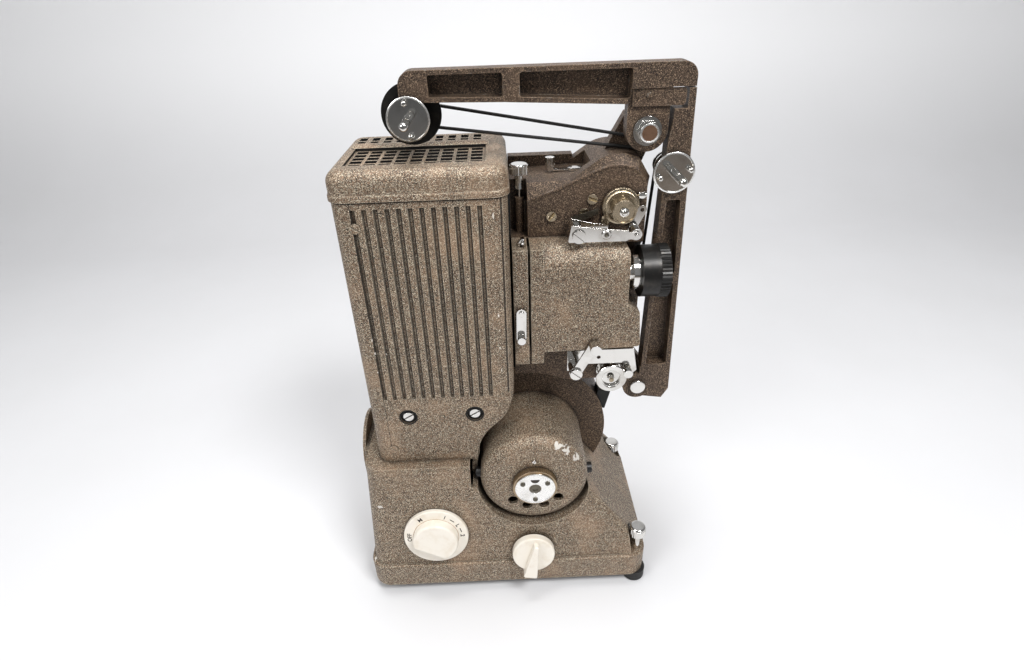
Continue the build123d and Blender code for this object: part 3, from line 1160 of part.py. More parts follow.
def pivot_posts():
    """The two keeper posts with their slotted heads, and the take-up arm's pin with its button."""
    pieces = []
    for place, front in ((UPPER_PIVOT, -30.2), (LOWER_PIVOT, -37.0)):
        x, z = place
        post = rod_y(x, z, front - 0.3, MECH_FRONT + 2.8, POST_R)
        head = rod_y(x, z, front - 2.0, front - 0.1, POST_HEAD_R)
        slot = Pos(x, front - 2.0, z) * (Rot(0, 40, 0) * Box(12.0, 1.4, 0.9))
        pieces.append(post + head - slot)
    x, z = TAKE_PIVOT
    pin = rod_y(x, z, ARM_FRONT - 0.4, BRACKET_Y1 + 1.5, PIVOT_R)
    button = rod_y(x, z, ARM_FRONT - 3.0, ARM_FRONT - BOLT_GAP, 6.5)
    button = fillet(button.edges().sort_by(Axis.Y)[0], 1.0)
    pieces.append(pin + button)
    return pieces


def framing_knob():
    rod = rod_z(FRAMING_X, FRAMING_Y, 313.5, FRAMING_TOP - 7.0, 1.3)
    bell = Pos(FRAMING_X, FRAMING_Y, 343.5) * Cone(4.0, 2.4, 4.5, align=BASED)
    neck = rod_z(FRAMING_X, FRAMING_Y, 347.5, FRAMING_TOP - 6.5, 3.2)
    head = Pos(FRAMING_X, FRAMING_Y, FRAMING_TOP - 7.0) * knurled(6.5, 6.0, 34)
    crown = rod_z(FRAMING_X, FRAMING_Y, FRAMING_TOP - 1.2, FRAMING_TOP, 6.0)
    crown = fillet(crown.edges().group_by(Axis.Z)[-1], 1.0)
    return rod + bell + neck + head + crown


def clutch_lever():
    """A small lever on the ledge that stops the film on one picture."""
    strip = Pos(0, 0, LEDGE_Z + FIT_GAP) * raised(capsule((CLUTCH_X, CLUTCH_Y), CLUTCH_END, 2.2), 1.2)
    tip_face = capsule((CLUTCH_END[0] - 6.0, CLUTCH_END[1]), CLUTCH_END, 3.2)
    tip = Pos(0, 0, LEDGE_Z + FIT_GAP) * raised(tip_face, 2.2)
    knob = Pos(CLUTCH_X, CLUTCH_Y, LEDGE_Z + 1.4) * knurled(3.4, 8.5, 20, 0.25)
    pin = rod_z(CLUTCH_X, CLUTCH_Y, LEDGE_Z - 6.0, LEDGE_Z + 2.0, 2.0)
    return strip + tip + knob + pin


def arm_bracket():
    """The strut on top of the casting that carries the feed arm."""
    px, pz = FEED_PIVOT
    strut = polygon((76.0, 355.0), (80.0, 366.0), (93.0, 389.5), (px + 8.0, pz + 8.0), (px + 11.5, pz - 2.0),
                    (px + 2.0, 355.0))
    body = slab(strut + disc(px, pz, 13.0), BRACKET_Y0, BRACKET_Y1)
    body = body + rod_y(px, pz, ARM_BACK + BOLT_GAP, BRACKET_Y0 + 1.0, 6.2)
    head = slab(shoulder(HEAD_POINTS, 320.0, MECH_RIGHT), MECH_FRONT + MECH_CREASE, MECH_BACK)
    body = body - head
    return body - rod_y(px, pz, ARM_BACK - 1.0, BRACKET_Y1 + 1.0, PIVOT_R + BOLT_GAP / 2)


def arm_bolt():
    """The hexagon bolt of the feed arm with its washer."""
    px, pz = FEED_PIVOT
    lug_front = ARM_FRONT + 3.0
    washer = rod_y(px, pz, lug_front - BOLT_GAP - 1.5, lug_front - BOLT_GAP, WASHER_R)
    washer = washer - rod_y(px, pz, lug_front - 3.0, lug_front + 1.0, PIVOT_R + BOLT_GAP)
    head_back = lug_front - BOLT_GAP - 1.5
    hexagon = Pos(px, pz) * RegularPolygon(HEX_ACROSS / 2, 6, major_radius=False)
    head = slab(hexagon, head_back - 6.0, head_back)
    bolt = head + rod_y(px, pz, head_back, BRACKET_Y1 + 1.0, PIVOT_R)
    return [washer, bolt]


def feed_arm():
    px, pz = FEED_PIVOT
    sx, sz = FEED_SPINDLE
    top = FEED_TOP
    outline = polygon(
        (FEED_LEFT, top), (FEED_RIGHT, top), (FEED_RIGHT, 408.0), (px + FEED_LUG_R, 408.0),
        (px + FEED_LUG_R, pz), (px - FEED_LUG_R, pz), (px - FEED_LUG_R, 398.4), (10.0, 402.5),
        (sx + 10.0, 403.9), (FEED_LEFT, 403.9))
    outline = round_near(outline, [(FEED_LEFT, top), (FEED_RIGHT, top)], 9.0)
    outline = outline + disc(px, pz, FEED_LUG_R) + disc(sx, sz, 10.5)
    arm = slab(outline, ARM_FRONT, ARM_BACK)
    floor_y = ARM_FRONT + RECESS_DEPTH
    left = polygon((sx + 14.0, 419.8), (9.7, 419.8), (9.7, 405.6), (sx + 14.0, 406.8))
    right = polygon((20.5, 419.8), (91.5, 419.8), (91.5, 401.6), (20.5, 405.2))
    for panel in (left, right):
        arm = arm - slab(fillet(panel.vertices(), 1.5), ARM_FRONT - 1.0, floor_y)
    lug_front = ARM_FRONT + 3.0
    arm = arm - block(px - FEED_LUG_R - 1.0, px + FEED_LUG_R + 1.0, ARM_FRONT - 1.0, lug_front, pz - 21.0, FEED_TOP - 15.2)
    arm = arm + rod_y(GUIDE_POST[0], GUIDE_POST[1], ARM_BACK - 1.0, ARM_BELT_Y + 2.3, GUIDE_POST_R)
    arm = arm + rod_y(GUIDE_POST[0], GUIDE_POST[1], ARM_BELT_Y + 1.6, ARM_BELT_Y + 2.3, GUIDE_POST_R + 1.8)
    arm = arm - rod_y(px, pz, ARM_FRONT - 1.0, ARM_BACK + 1.0, PIVOT_R + RUN_FIT)
    return arm - rod_y(sx, sz, ARM_FRONT - 1.0, ARM_BACK + 1.0, SPINDLE_SHAFT_R + RUN_FIT)


def latch_plate():
    """A thin plate on the feed arm that hooks over the folded take-up arm."""
    lug_front = ARM_FRONT + 3.0
    px = FEED_PIVOT[0]
    top = FEED_TOP - 15.5
    low = top - 10.7
    face = polygon((px - 11.4, top), (px + 23.0, top), (px + 23.0, low), (px - 11.4, low))
    face = round_near(face, [(px + 23.0, low), (px + 23.0, top)], 2.5)
    plate = slab(face, lug_front - 2.0, lug_front)
    for x in (px - 7.8, px - 1.0):
        rivet = rod_y(x, top - 3.9, lug_front - 3.0, lug_front - 1.0, 1.7)
        plate = plate + rivet
    return plate


def take_up_arm():
    px, pz = TAKE_PIVOT
    sx, sz = TAKE_SPINDLE
    outline = polygon(
        (128.4, TAKE_TOP), (132.8, TAKE_TOP), (133.7, 374.5), (139.8, 170.4), (134.6, 161.2),
        (px + 1.0, pz - TAKE_BOSS_R + 2.0),
        (px + 1.0, 193.3), (115.1, 193.3), (117.6, 335.0), (118.1, 374.8), (120.2, 387.7), (120.2, 394.8),
        (128.4, 394.8))
    arm = slab(outline, ARM_FRONT, ARM_BACK) + rod_y(px, pz, ARM_FRONT, ARM_BACK, TAKE_BOSS_R)
    floor_y = ARM_FRONT + RECESS_DEPTH
    lower = polygon((118.6, 196.0), (135.2, 196.0), (133.2, 269.0), (119.6, 269.0))
    upper = polygon((120.4, 277.0), (132.9, 277.0), (131.0, 334.0), (121.2, 334.0))
    for panel in (lower, upper):
        arm = arm - slab(fillet(panel.vertices(), 1.5), ARM_FRONT - 1.0, floor_y)
    arm = arm - block(100.0, RELIEF_X, ARM_FRONT - 1.0, floor_y, RELIEF_Z0, RELIEF_Z1)
    arm = arm - rod_y(px, pz, ARM_FRONT - 1.0, ARM_BACK + 1.0, PIVOT_R + RUN_FIT)
    return arm - rod_y(sx, sz, ARM_FRONT - 1.0, ARM_BACK + 1.0, SPINDLE_SHAFT_R + RUN_FIT)


def spindle(place, pin_angle):
    """A reel spindle: shaft with a groove and round tip, thin disc and two drive pins."""
    x, z = place
    shaft = rod_y(x, z, SPINDLE_TIP, DISC_Y0, SPINDLE_R)
    shaft = fillet(shaft.edges().sort_by(Axis.Y)[0], SPINDLE_R - 0.6)
    groove = rod_y(x, z, -25.5, -23.5, SPINDLE_R + 1.0) - rod_y(x, z, -26.0, -23.0, SPINDLE_R - 0.6)
    shaft = shaft - groove
    plate = rod_y(x, z, DISC_Y0, DISC_Y1, DISC_R)
    hub = rod_y(x, z, DISC_Y1, ARM_FRONT - FIT_GAP, 5.0)
    rear = rod_y(x, z, DISC_Y0, ARM_BELT_Y + 3.4, SPINDLE_SHAFT_R)
    piece = shaft + plate + hub + rear
    for turn in (pin_angle, pin_angle + 180.0):
        tx, tz = polar(x, z, 10.3, turn)
        pin = rod_y(tx, tz, DISC_Y0 - 5.0, DISC_Y0 + 0.5, 1.8)
        piece = piece + fillet(pin.edges().sort_by(Axis.Y)[0], 1.2)
    return piece


def feed_spindle():
    return spindle(FEED_SPINDLE, 96.0)


def take_up_spindle():
    body = spindle(TAKE_SPINDLE, 14.0)
    return body + spool(TAKE_SPINDLE, SPOOL_GROOVE_R + 3.0)


def spool(place, front_r):
    """A grooved pulley behind an arm."""
    x, z = place
    reach = 1.5 + FIT_GAP
    core = rod_y(x, z, ARM_BELT_Y - reach - 1.5, ARM_BELT_Y + reach + 1.2, SPOOL_GROOVE_R)
    front = rod_y(x, z, ARM_BELT_Y - reach - 1.5, ARM_BELT_Y - reach, front_r)
    back = rod_y(x, z, ARM_BELT_Y + reach, ARM_BELT_Y + reach + 1.2, SPOOL_GROOVE_R + 3.0)
    return core + front + back


def feed_pulley():
    x, z = FEED_SPINDLE
    return spool(FEED_SPINDLE, FEED_PULLEY_R) - rod_y(x, z, 0.0, 20.0, SPINDLE_SHAFT_R + 0.02)


def take_up_pulley():
    x, z = TAKE_PIVOT
    return spool(TAKE_PIVOT, SPOOL_GROOVE_R + 3.0) - rod_y(x, z, 0.0, 20.0, PIVOT_R + RUN_FIT)


def feed_belt():
    wrap = SPOOL_GROOVE_R + ARM_BELT_R + FIT_GAP
    post = GUIDE_POST_R + ARM_BELT_R + FIT_GAP
    return round_belt(FEED_SPINDLE, wrap, GUIDE_POST, post, ARM_BELT_Y, ARM_BELT_R)


def take_up_belt():
    wrap = SPOOL_GROOVE_R + ARM_BELT_R + FIT_GAP
    return round_belt(TAKE_PIVOT, wrap, TAKE_SPINDLE, wrap, ARM_BELT_Y, ARM_BELT_R)


PARTS = {
    "base_casting": base_casting,
    "base_plate": base_plate,
    "fixed_feet": fixed_feet,
    "socket_panel": socket_panel,
    "mains_inlet": mains_inlet,
    "motor_housing": motor_housing,
    "motor_stator": motor_stator,
    "brush_caps": brush_caps,
    "blower_housing": blower_housing,
    "lamp_house_body": lamp_house_body,
    "lamp_house_front": lamp_house_front,
    "lamp_house_cap": lamp_house_cap,
    "cap_grille": cap_grille,
    "cover_screws": cover_screws,
    "lamp_adjusters": lamp_adjusters,
    "lamp_bulb": lamp_bulb,
    "lamp_socket": lamp_socket,
    "condenser_lenses": condenser_lenses,
    "mechanism_casting": mechanism_casting,
    "rear_cover": rear_cover,
    "gate_block": gate_block,
    "casting_screws": casting_screws,
    "arm_bracket": arm_bracket,
    "arm_bolt": arm_bolt,
    "pivot_posts": pivot_posts,
    "control_bodies": control_bodies,
    "drive_belt": drive_belt,
    "motor_armature": motor_armature,
    "inching_knob": inching_knob,
    "fan_wheel": fan_wheel,
    "drive_shaft": drive_shaft,
    "shutter": shutter,
    "upper_sprocket": upper_sprocket,
    "lower_sprocket": lower_sprocket,
    "upper_keeper": upper_keeper,
    "upper_roller": upper_roller,
    "lower_keeper": lower_keeper,
    "lower_roller": lower_roller,
    "lens_housing": lens_housing,
    "gate_lever": gate_lever,
    "lens_barrel": lens_barrel,
    "focus_ring": focus_ring,
    "framing_knob": framing_knob,
    "clutch_lever": clutch_lever,
    "feed_arm": feed_arm,
    "latch_plate": latch_plate,
    "feed_belt": feed_belt,
    "feed_spindle": feed_spindle,
    "feed_pulley": feed_pulley,
    "take_up_arm": take_up_arm,
    "take_up_belt": take_up_belt,
    "take_up_spindle": take_up_spindle,
    "take_up_pulley": take_up_pulley,
    "switch_dial": switch_dial,
    "speed_knob": speed_knob,
    "levelling_foot_front": lambda: levelling_foot(LEVEL_FRONT),
    "levelling_foot_rear": lambda: levelling_foot(LEVEL_REAR),
    "levelling_screw_front": lambda: levelling_screw(LEVEL_FRONT),
    "levelling_screw_rear": lambda: levelling_screw(LEVEL_REAR),
}


def solids_of(made):
    pieces = made if isinstance(made, list) else [made]
    found = []
    for piece in pieces:
        found.extend(piece.solids())
    return found


def main():
    os.makedirs("parts", exist_ok=True)
    shift = Pos(-ORIGIN_X, -ORIGIN_Y, 0)
    for name, make in PARTS.items():
        solids = [shift * solid for solid in solids_of(make())]
        whole = Compound(solids) if len(solids) > 1 else solids[0]
        export_step(whole, "parts/" + name + ".step")


main()
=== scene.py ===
# %% [markdown]
# # A movie projector, dressed for its portrait
# The projector folds into a tall block: a ribbed lamp house, a round motor, a film path with
# two sprockets, a lens and two reel arms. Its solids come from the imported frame. They could be
# drawn a second time here, but then the two would drift apart, so this lesson gives each solid
# a real surface and adds only the fittings that are too fine for the solids.

# %% Start the scene
import json
import math
import bmesh
import bpy
from mathutils import Matrix, Vector

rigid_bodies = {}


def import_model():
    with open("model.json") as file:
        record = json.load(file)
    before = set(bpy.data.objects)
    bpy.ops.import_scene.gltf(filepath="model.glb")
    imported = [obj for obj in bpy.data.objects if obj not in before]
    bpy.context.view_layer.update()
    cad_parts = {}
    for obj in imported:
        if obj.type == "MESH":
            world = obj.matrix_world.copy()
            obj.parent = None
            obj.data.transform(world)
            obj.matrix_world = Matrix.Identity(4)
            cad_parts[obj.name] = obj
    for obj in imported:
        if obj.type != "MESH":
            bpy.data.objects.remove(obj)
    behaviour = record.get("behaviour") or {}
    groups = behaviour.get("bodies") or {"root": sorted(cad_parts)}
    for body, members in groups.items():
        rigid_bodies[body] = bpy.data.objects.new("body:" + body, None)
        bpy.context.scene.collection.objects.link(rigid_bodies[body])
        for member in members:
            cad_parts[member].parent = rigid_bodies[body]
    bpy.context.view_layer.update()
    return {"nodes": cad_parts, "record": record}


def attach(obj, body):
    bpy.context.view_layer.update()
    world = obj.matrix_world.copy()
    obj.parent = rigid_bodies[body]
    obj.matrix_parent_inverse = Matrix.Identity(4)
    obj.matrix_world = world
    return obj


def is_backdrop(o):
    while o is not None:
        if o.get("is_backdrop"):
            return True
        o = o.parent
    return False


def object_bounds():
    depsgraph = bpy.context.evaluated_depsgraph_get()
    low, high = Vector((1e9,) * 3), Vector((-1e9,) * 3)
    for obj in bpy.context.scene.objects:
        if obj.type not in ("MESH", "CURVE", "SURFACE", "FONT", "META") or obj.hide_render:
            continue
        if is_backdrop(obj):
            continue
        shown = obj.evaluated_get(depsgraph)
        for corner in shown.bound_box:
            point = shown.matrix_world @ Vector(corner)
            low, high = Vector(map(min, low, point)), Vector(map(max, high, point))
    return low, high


for thing in list(bpy.data.objects):
    bpy.data.objects.remove(thing)
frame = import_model()
nodes = frame["nodes"]

# %% [markdown]
# ## Sizes and colours
# The fittings are measured in millimetres from the middle of the base, as on the drawing, with
# x to the right, y to the back and z up. The frame is in metres about another middle, so one
# function moves a point across. A colour is written as the hex value of a paint chart, and a
# second function turns it into the linear values that the shaders work with.

# %% Sizes and colours
MM = 0.001
SHIFT_X = 9.2
SHIFT_Y = -5.0


def linear(code):
    """A hex colour as the linear values that the shaders expect."""
    made = []
    for start in (1, 3, 5):
        share = int(code[start:start + 2], 16) / 255
        made.append(share / 12.92 if share <= 0.04045 else ((share + 0.055) / 1.055) ** 2.4)
    return (*made, 1.0)


def at(x, y, z):
    """A point of the drawing in millimetres, as a vector of the frame in metres."""
    return Vector(((x - SHIFT_X) * MM, (y - SHIFT_Y) * MM, z * MM))


print("the middle of the base lies at", [round(v, 4) for v in at(0, 0, 0)])

# %% [markdown]
# ## One function for every node
# A finish could be wired by hand in the editor, but then nobody can read how it was made. Here
# one small function adds a node. A socket in the settings is linked, and any other value is
# set, so a whole material reads as a list of short calls.

# %% Node helper
def fill(tree, node, sockets):
    """Links each socket that is given a socket, and sets the others. A hex code is a colour."""
    for key, value in sockets.items():
        if isinstance(value, bpy.types.NodeSocket):
            tree.links.new(value, node.inputs[key])
        else:
            node.inputs[key].default_value = linear(value) if isinstance(value, str) else value


def add(tree, kind, sockets=None, out=None, **settings):
    """Adds a node, first with its settings and then with its sockets. Where out is given, that
    output comes back, and otherwise the node."""
    made = tree.nodes.new(kind)
    for key, value in settings.items():
        setattr(made, key, value)
    fill(tree, made, sockets or {})
    return made if out is None else made.outputs[out]


def start_material(name):
    """A new material, with its tree, its shader and its object coordinates."""
    material = bpy.data.materials.new(name)
    material.use_nodes = True
    tree = material.node_tree
    tree.nodes.clear()
    shader = add(tree, "ShaderNodeBsdfPrincipled")
    add(tree, "ShaderNodeOutputMaterial", {"Surface": shader.outputs[0]})
    return material, tree, shader, add(tree, "ShaderNodeTexCoord", None, "Object")


print("node helper ready")

# %% [markdown]
# ## Clouds, limits and sums
# No old surface is even: paint fades in clouds, and polish wears in patches. Every finish is
# made of the same few nodes. Noise gives the clouds, a ramp sets how sharply they start and
# stop, a mix lays one colour over another, and sums join the masks. Their long names and their
# usual settings are written once, and a pattern's scale is worked out from its size.

# %% Clouds, limits and sums
NOISE, RAMP, MIX = "ShaderNodeTexNoise", "ShaderNodeMapRange", "ShaderNodeMix"
MATHS, SPLIT = "ShaderNodeMath", "ShaderNodeSeparateXYZ"
CLOUDY = {"Detail": 4.0, "Roughness": 0.55}
SMOOTH = {"interpolation_type": "SMOOTHSTEP"}
COLOUR = {"data_type": "RGBA"}


def scale_of(size_mm):
    """The scale of a pattern whose blotches are about so many millimetres across."""
    return 1.0 / (size_mm * MM)


print("a blotch of 10 mm has a scale of", round(scale_of(10.0)))

# %% [markdown]
# ## Where edges are rubbed and highlit, and where corners are shaded
# Edges are rubbed lighter, and that lightening also stands as a painted highlight along them.
# Corners are painted darker as shade. Both could be painted by hand, but the shape already knows
# where they are. A rounded normal leans away from the true one at an edge, and a point in a
# corner sees little of the sky.

# %% Edges and corners
def edge_mask(tree, radius_mm):
    """One on sharp edges and nought on flats, from how far a rounded normal leans away."""
    rounded = add(tree, "ShaderNodeBevel", {"Radius": radius_mm * MM}, 0, samples=4)
    true = add(tree, "ShaderNodeNewGeometry", None, "Normal")
    lean = add(tree, "ShaderNodeVectorMath", {0: rounded, 1: true}, "Value", operation="DOT_PRODUCT")
    return add(tree, RAMP, {0: lean, 1: 0.985, 2: 0.80}, 0, **SMOOTH)


def crevice(tree, reach_mm):
    """One in corners and grooves, nought in the open: the mask of the painted shade."""
    shut = add(tree, "ShaderNodeAmbientOcclusion", {"Distance": reach_mm * MM}, "AO", samples=6)
    return add(tree, RAMP, {0: shut, 1: 0.35, 2: 0.95, 3: 1.0, 4: 0.0}, 0, **SMOOTH)


def relief(tree, height, distance_mm, strength, edge_mm):
    """A normal with rounded edges and a fine relief."""
    rounded = add(tree, "ShaderNodeBevel", {"Radius": edge_mm * MM}, 0, samples=4)
    return add(tree, "ShaderNodeBump", {
        "Height": height, "Distance": distance_mm * MM, "Strength": strength, "Normal": rounded}, 0)


print("edges and corners ready")

# %% [markdown]
# ## Shade in the flutes
# Twelve upright flutes run down the cover of the lamp house. Their sides are painted dark as
# shade, and the middle of each is left light, as if lit. The corner mask alone greys the whole
# flute, so the painted shade is worked out from how far a point lies from the middle of its flute.

# %% Shade in the flutes
LAMP_FACE = -46.0
FLUTE_FIRST = -88.0
FLUTE_PITCH = 7.29
FLUTE_START = 0.25
FLUTE_SUNK = 0.9
FLUTE_SHADE = 0.92


def flute_shade(tree, coords):
    """Painted shade along both sides of each flute, and a light line down its middle."""
    parts = add(tree, SPLIT, {0: coords}).outputs
    start = (FLUTE_FIRST - FLUTE_PITCH / 2 - SHIFT_X) * MM
    along = add(tree, MATHS, {0: parts["X"], 1: start}, 0, operation="SUBTRACT")
    flutes = add(tree, MATHS, {0: along, 1: FLUTE_PITCH * MM}, 0, operation="DIVIDE")
    share = add(tree, MATHS, {0: flutes}, 0, operation="FRACT")
    aside = add(tree, MATHS, {0: share, 1: 0.5}, 0, operation="SUBTRACT")
    off = add(tree, MATHS, {0: aside}, 0, operation="ABSOLUTE")
    inner = add(tree, RAMP, {0: off, 1: 0.045, 2: 0.12}, 0, **SMOOTH)
    outer = add(tree, RAMP, {0: off, 1: 0.20, 2: 0.28, 3: 1.0, 4: 0.0}, 0, **SMOOTH)
    shallow = (LAMP_FACE + FLUTE_START - SHIFT_Y) * MM
    deep = (LAMP_FACE + FLUTE_SUNK - SHIFT_Y) * MM
    sunk = add(tree, RAMP, {0: parts["Y"], 1: shallow, 2: deep}, 0, **SMOOTH)
    above = add(tree, RAMP, {0: parts["Z"], 1: 0.1985, 2: 0.2015}, 0, **SMOOTH)
    across = add(tree, MATHS, {0: inner, 1: outer}, 0, operation="MULTIPLY")
    inside = add(tree, MATHS, {0: sunk, 1: above}, 0, operation="MULTIPLY")
    band = add(tree, MATHS, {0: across, 1: inside}, 0, operation="MULTIPLY")
    return add(tree, MATHS, {0: band, 1: FLUTE_SHADE}, 0, operation="MULTIPLY")


print("flutes stand every", FLUTE_PITCH, "mm")

# %% [markdown]
# ## Flakes and painted shade in holes
# Knocks have flaked the enamel to its pale primer, and the vents look into a shaded inside.
# Round spots would look stamped, so the rim of each flake is torn by noise. The steep walls of
# the vents are found by how far their faces turn away from the sky, and painted dark as shade.

# %% Flakes and painted shade in holes
def flaked(tree, coords, patches):
    """Flakes with a ragged rim near the given points, each an (x, y, z, reach) in millimetres."""
    near = 0.0
    for x, y, z, reach in patches:
        gap = add(tree, "ShaderNodeVectorMath", {0: coords, 1: at(x, y, z)}, "Value", operation="DISTANCE")
        close = add(tree, RAMP, {0: gap, 1: 1.5 * reach * MM, 2: 0.0}, 0, **SMOOTH)
        near = add(tree, MATHS, {0: near, 1: close}, 0, operation="MAXIMUM")
    torn = add(tree, NOISE, {"Vector": coords, "Scale": scale_of(3.0), **CLOUDY, "Detail": 7.0}, 0)
    ragged = add(tree, RAMP, {0: torn, 1: 0.35, 2: 0.65, 3: -0.45, 4: 0.45}, 0, **SMOOTH)
    both = add(tree, MATHS, {0: near, 1: ragged}, 0, operation="ADD")
    return add(tree, RAMP, {0: both, 1: 0.55, 2: 0.60}, 0, **SMOOTH)


def pit_shade(tree, coords, pit):
    """One on the steep walls of holes inside a box, where shade is painted; the box is an (x0, x1, y0, y1,
    z0) in millimetres.
    """
    parts = add(tree, SPLIT, {0: coords}).outputs
    up = add(tree, SPLIT, {0: add(tree, "ShaderNodeNewGeometry", None, "True Normal")}, "Z")
    low, high = at(pit[0], pit[2], pit[4]), at(pit[1], pit[3], pit[4])
    share = add(tree, RAMP, {0: up, 1: 0.45, 2: 0.75, 3: 1.0, 4: 0.0}, 0, **SMOOTH)
    for axis, side, limit in (("X", "GREATER_THAN", low.x), ("X", "LESS_THAN", high.x),
                              ("Y", "GREATER_THAN", low.y), ("Y", "LESS_THAN", high.y),
                              ("Z", "GREATER_THAN", low.z)):
        inside = add(tree, MATHS, {0: parts[axis], 1: limit}, 0, operation=side)
        share = add(tree, MATHS, {0: share, 1: inside}, 0, operation="MULTIPLY")
    return share


print("flakes and dark holes ready")

# %% [markdown]
# ## The islands of a hammered enamel
# The castings wear a hammer enamel, a sprayed and stoved lacquer with metal flake that draws
# itself into small raised islands as it dries. A picture of it would show seams and stretch,
# while a cell pattern bent by noise has neither. An island is about 0.6 mm across, one pixel
# of this portrait, and shows there as a fine speckle. A finer one wouldn't show at all.

# %% Islands of the enamel
ISLANDS_PER_METRE = 1600.0
BENDS_PER_METRE = 1550.0
BEND = 0.0004


def islands(tree, coords):
    """How high a point lies on its island, and a tone that each island has of its own."""
    bend = add(tree, NOISE, {"Vector": coords, "Scale": BENDS_PER_METRE, "Detail": 2.0}, "Color")
    bent = add(tree, MIX, {0: BEND, 4: coords, 5: bend}, 1, data_type="VECTOR")
    cells = {"Vector": bent, "Scale": ISLANDS_PER_METRE}
    rim = add(tree, "ShaderNodeTexVoronoi", cells, "Distance", feature="DISTANCE_TO_EDGE")
    tone = add(tree, "ShaderNodeTexVoronoi", cells, "Color")
    island = add(tree, RAMP, {0: rim, 1: 0.04, 2: 0.34}, 0, **SMOOTH)
    return island, add(tree, "ShaderNodeSeparateColor", {0: tone}, 0)


print("an island is", round(1000.0 / ISLANDS_PER_METRE, 3), "mm across")

# %% [markdown]
# ## Hammered enamel
# To the eye the enamel gives pale islands with a soft sheen and dark veins between them. Years
# of use lie on top: clouds where it has faded, edges that are rubbed lighter, and chips down to
# the primer. Painted shade darkens the corners, and the rubbed edges also stand as a painted
# highlight. Each is laid over the last, the painted shade before the rubbing and the chips.

# %% Hammered enamel
# The first colour is painted shade for corners and flutes, and the last is painted shade for the walls of
# vents.
PAINTED_SHADE, CHIPPED, FLAKE, PIT_SHADE = "#1d1611", "#b9b0a4", "#d3cec6", "#0d0b0a"


def enamel_colour(tree, coords, island, shade, light, body, vein, chips, fluted):
    """The colour of the islands, with fading, painted shade, rubbed and highlit edges and chips over it.
    """
    toned = add(tree, RAMP, {0: shade, 1: 0.2, 2: 0.9}, 0, **SMOOTH)
    base = add(tree, MIX, {0: toned, 6: body, 7: light}, 2, **COLOUR)
    veined = add(tree, MIX, {0: island, 6: vein, 7: base}, 2, **COLOUR)
    clouds = add(tree, NOISE, {"Vector": coords, "Scale": scale_of(34.0), **CLOUDY}, 0)
    fade = add(tree, RAMP, {0: clouds, 1: 0.45, 2: 0.75, 4: 0.35}, 0, **SMOOTH)
    faded = add(tree, MIX, {0: fade, 6: veined, 7: body}, 2, **COLOUR)
    # Painted shade: corners and grooves are darkened where light reaches them less, and so are the flutes
    # where asked.
    shade_mask = add(tree, MATHS, {0: crevice(tree, 5.0), 1: 0.75}, 0, operation="MULTIPLY")
    # The flutes get painted shade along their sides.
    if fluted:
        shade_mask = add(tree, MATHS, {0: shade_mask, 1: flute_shade(tree, coords)}, 0, operation="MAXIMUM")
    with_shade = add(tree, MIX, {0: shade_mask, 6: faded, 7: PAINTED_SHADE}, 2, **COLOUR)
    edge = edge_mask(tree, 0.9)
    # Edges are lightened: partly rubbed wear, partly a painted highlight along every sharp edge.
    rub_and_highlight = add(tree, MATHS, {0: edge, 1: 0.35}, 0, operation="MULTIPLY")
    rubbed_and_highlit = add(tree, MIX, {0: rub_and_highlight, 6: with_shade, 7: light}, 2, **COLOUR)
    patchy = add(tree, NOISE, {"Vector": coords, "Scale": scale_of(3.2), **CLOUDY, "Detail": 6.0}, 0)
    torn = add(tree, RAMP, {0: patchy, 1: 0.56, 2: 0.62}, 0, **SMOOTH)
    worn = add(tree, MATHS, {0: edge, 1: torn}, 0, operation="MULTIPLY")
    chipped = add(tree, MATHS, {0: worn, 1: chips}, 0, operation="MULTIPLY")
    return add(tree, MIX, {0: chipped, 6: rubbed_and_highlit, 7: CHIPPED}, 2, **COLOUR)


def hammered(name, light, body, vein, chips=0.55, fluted=False, patches=(), pit=None):
    """Hammered enamel, with flakes at the patches and painted shade on the hole walls of the pit where
    they are given.
    """
    material, tree, shader, coords = start_material(name)
    island, shade = islands(tree, coords)
    painted = enamel_colour(tree, coords, island, shade, light, body, vein, chips, fluted)
    if patches:
        painted = add(tree, MIX, {0: flaked(tree, coords, patches), 6: painted, 7: FLAKE}, 2, **COLOUR)
    # Painted shade on the steep walls of the vents.
    if pit:
        painted = add(tree, MIX, {0: pit_shade(tree, coords, pit), 6: painted, 7: PIT_SHADE}, 2, **COLOUR)
    sheen = add(tree, RAMP, {0: island, 1: 0.0, 2: 1.0, 3: 0.62, 4: 0.44}, 0, **SMOOTH)
    fill(tree, shader, {"Base Color": painted, "Roughness": sheen, "Metallic": 0.3, "Coat Weight": 0.08,
                        "Coat Roughness": 0.3, "Normal": relief(tree, island, 0.12, 0.5, 0.6)})
    return material


print("hammered enamel ready")

# %% [markdown]
# ## Metals
# The bright pieces are chromed, nickelled, turned or anodised. A clean metal looks like a
# mirror in a showroom, so each has two colours that meet in blotches of stain, and a roughness
# that wanders between two limits as wiping left it. The wiping marks are far finer than a
# pixel, so they are drawn 0.35 mm apart.

# %% Metals
WIPE_MM = 0.35


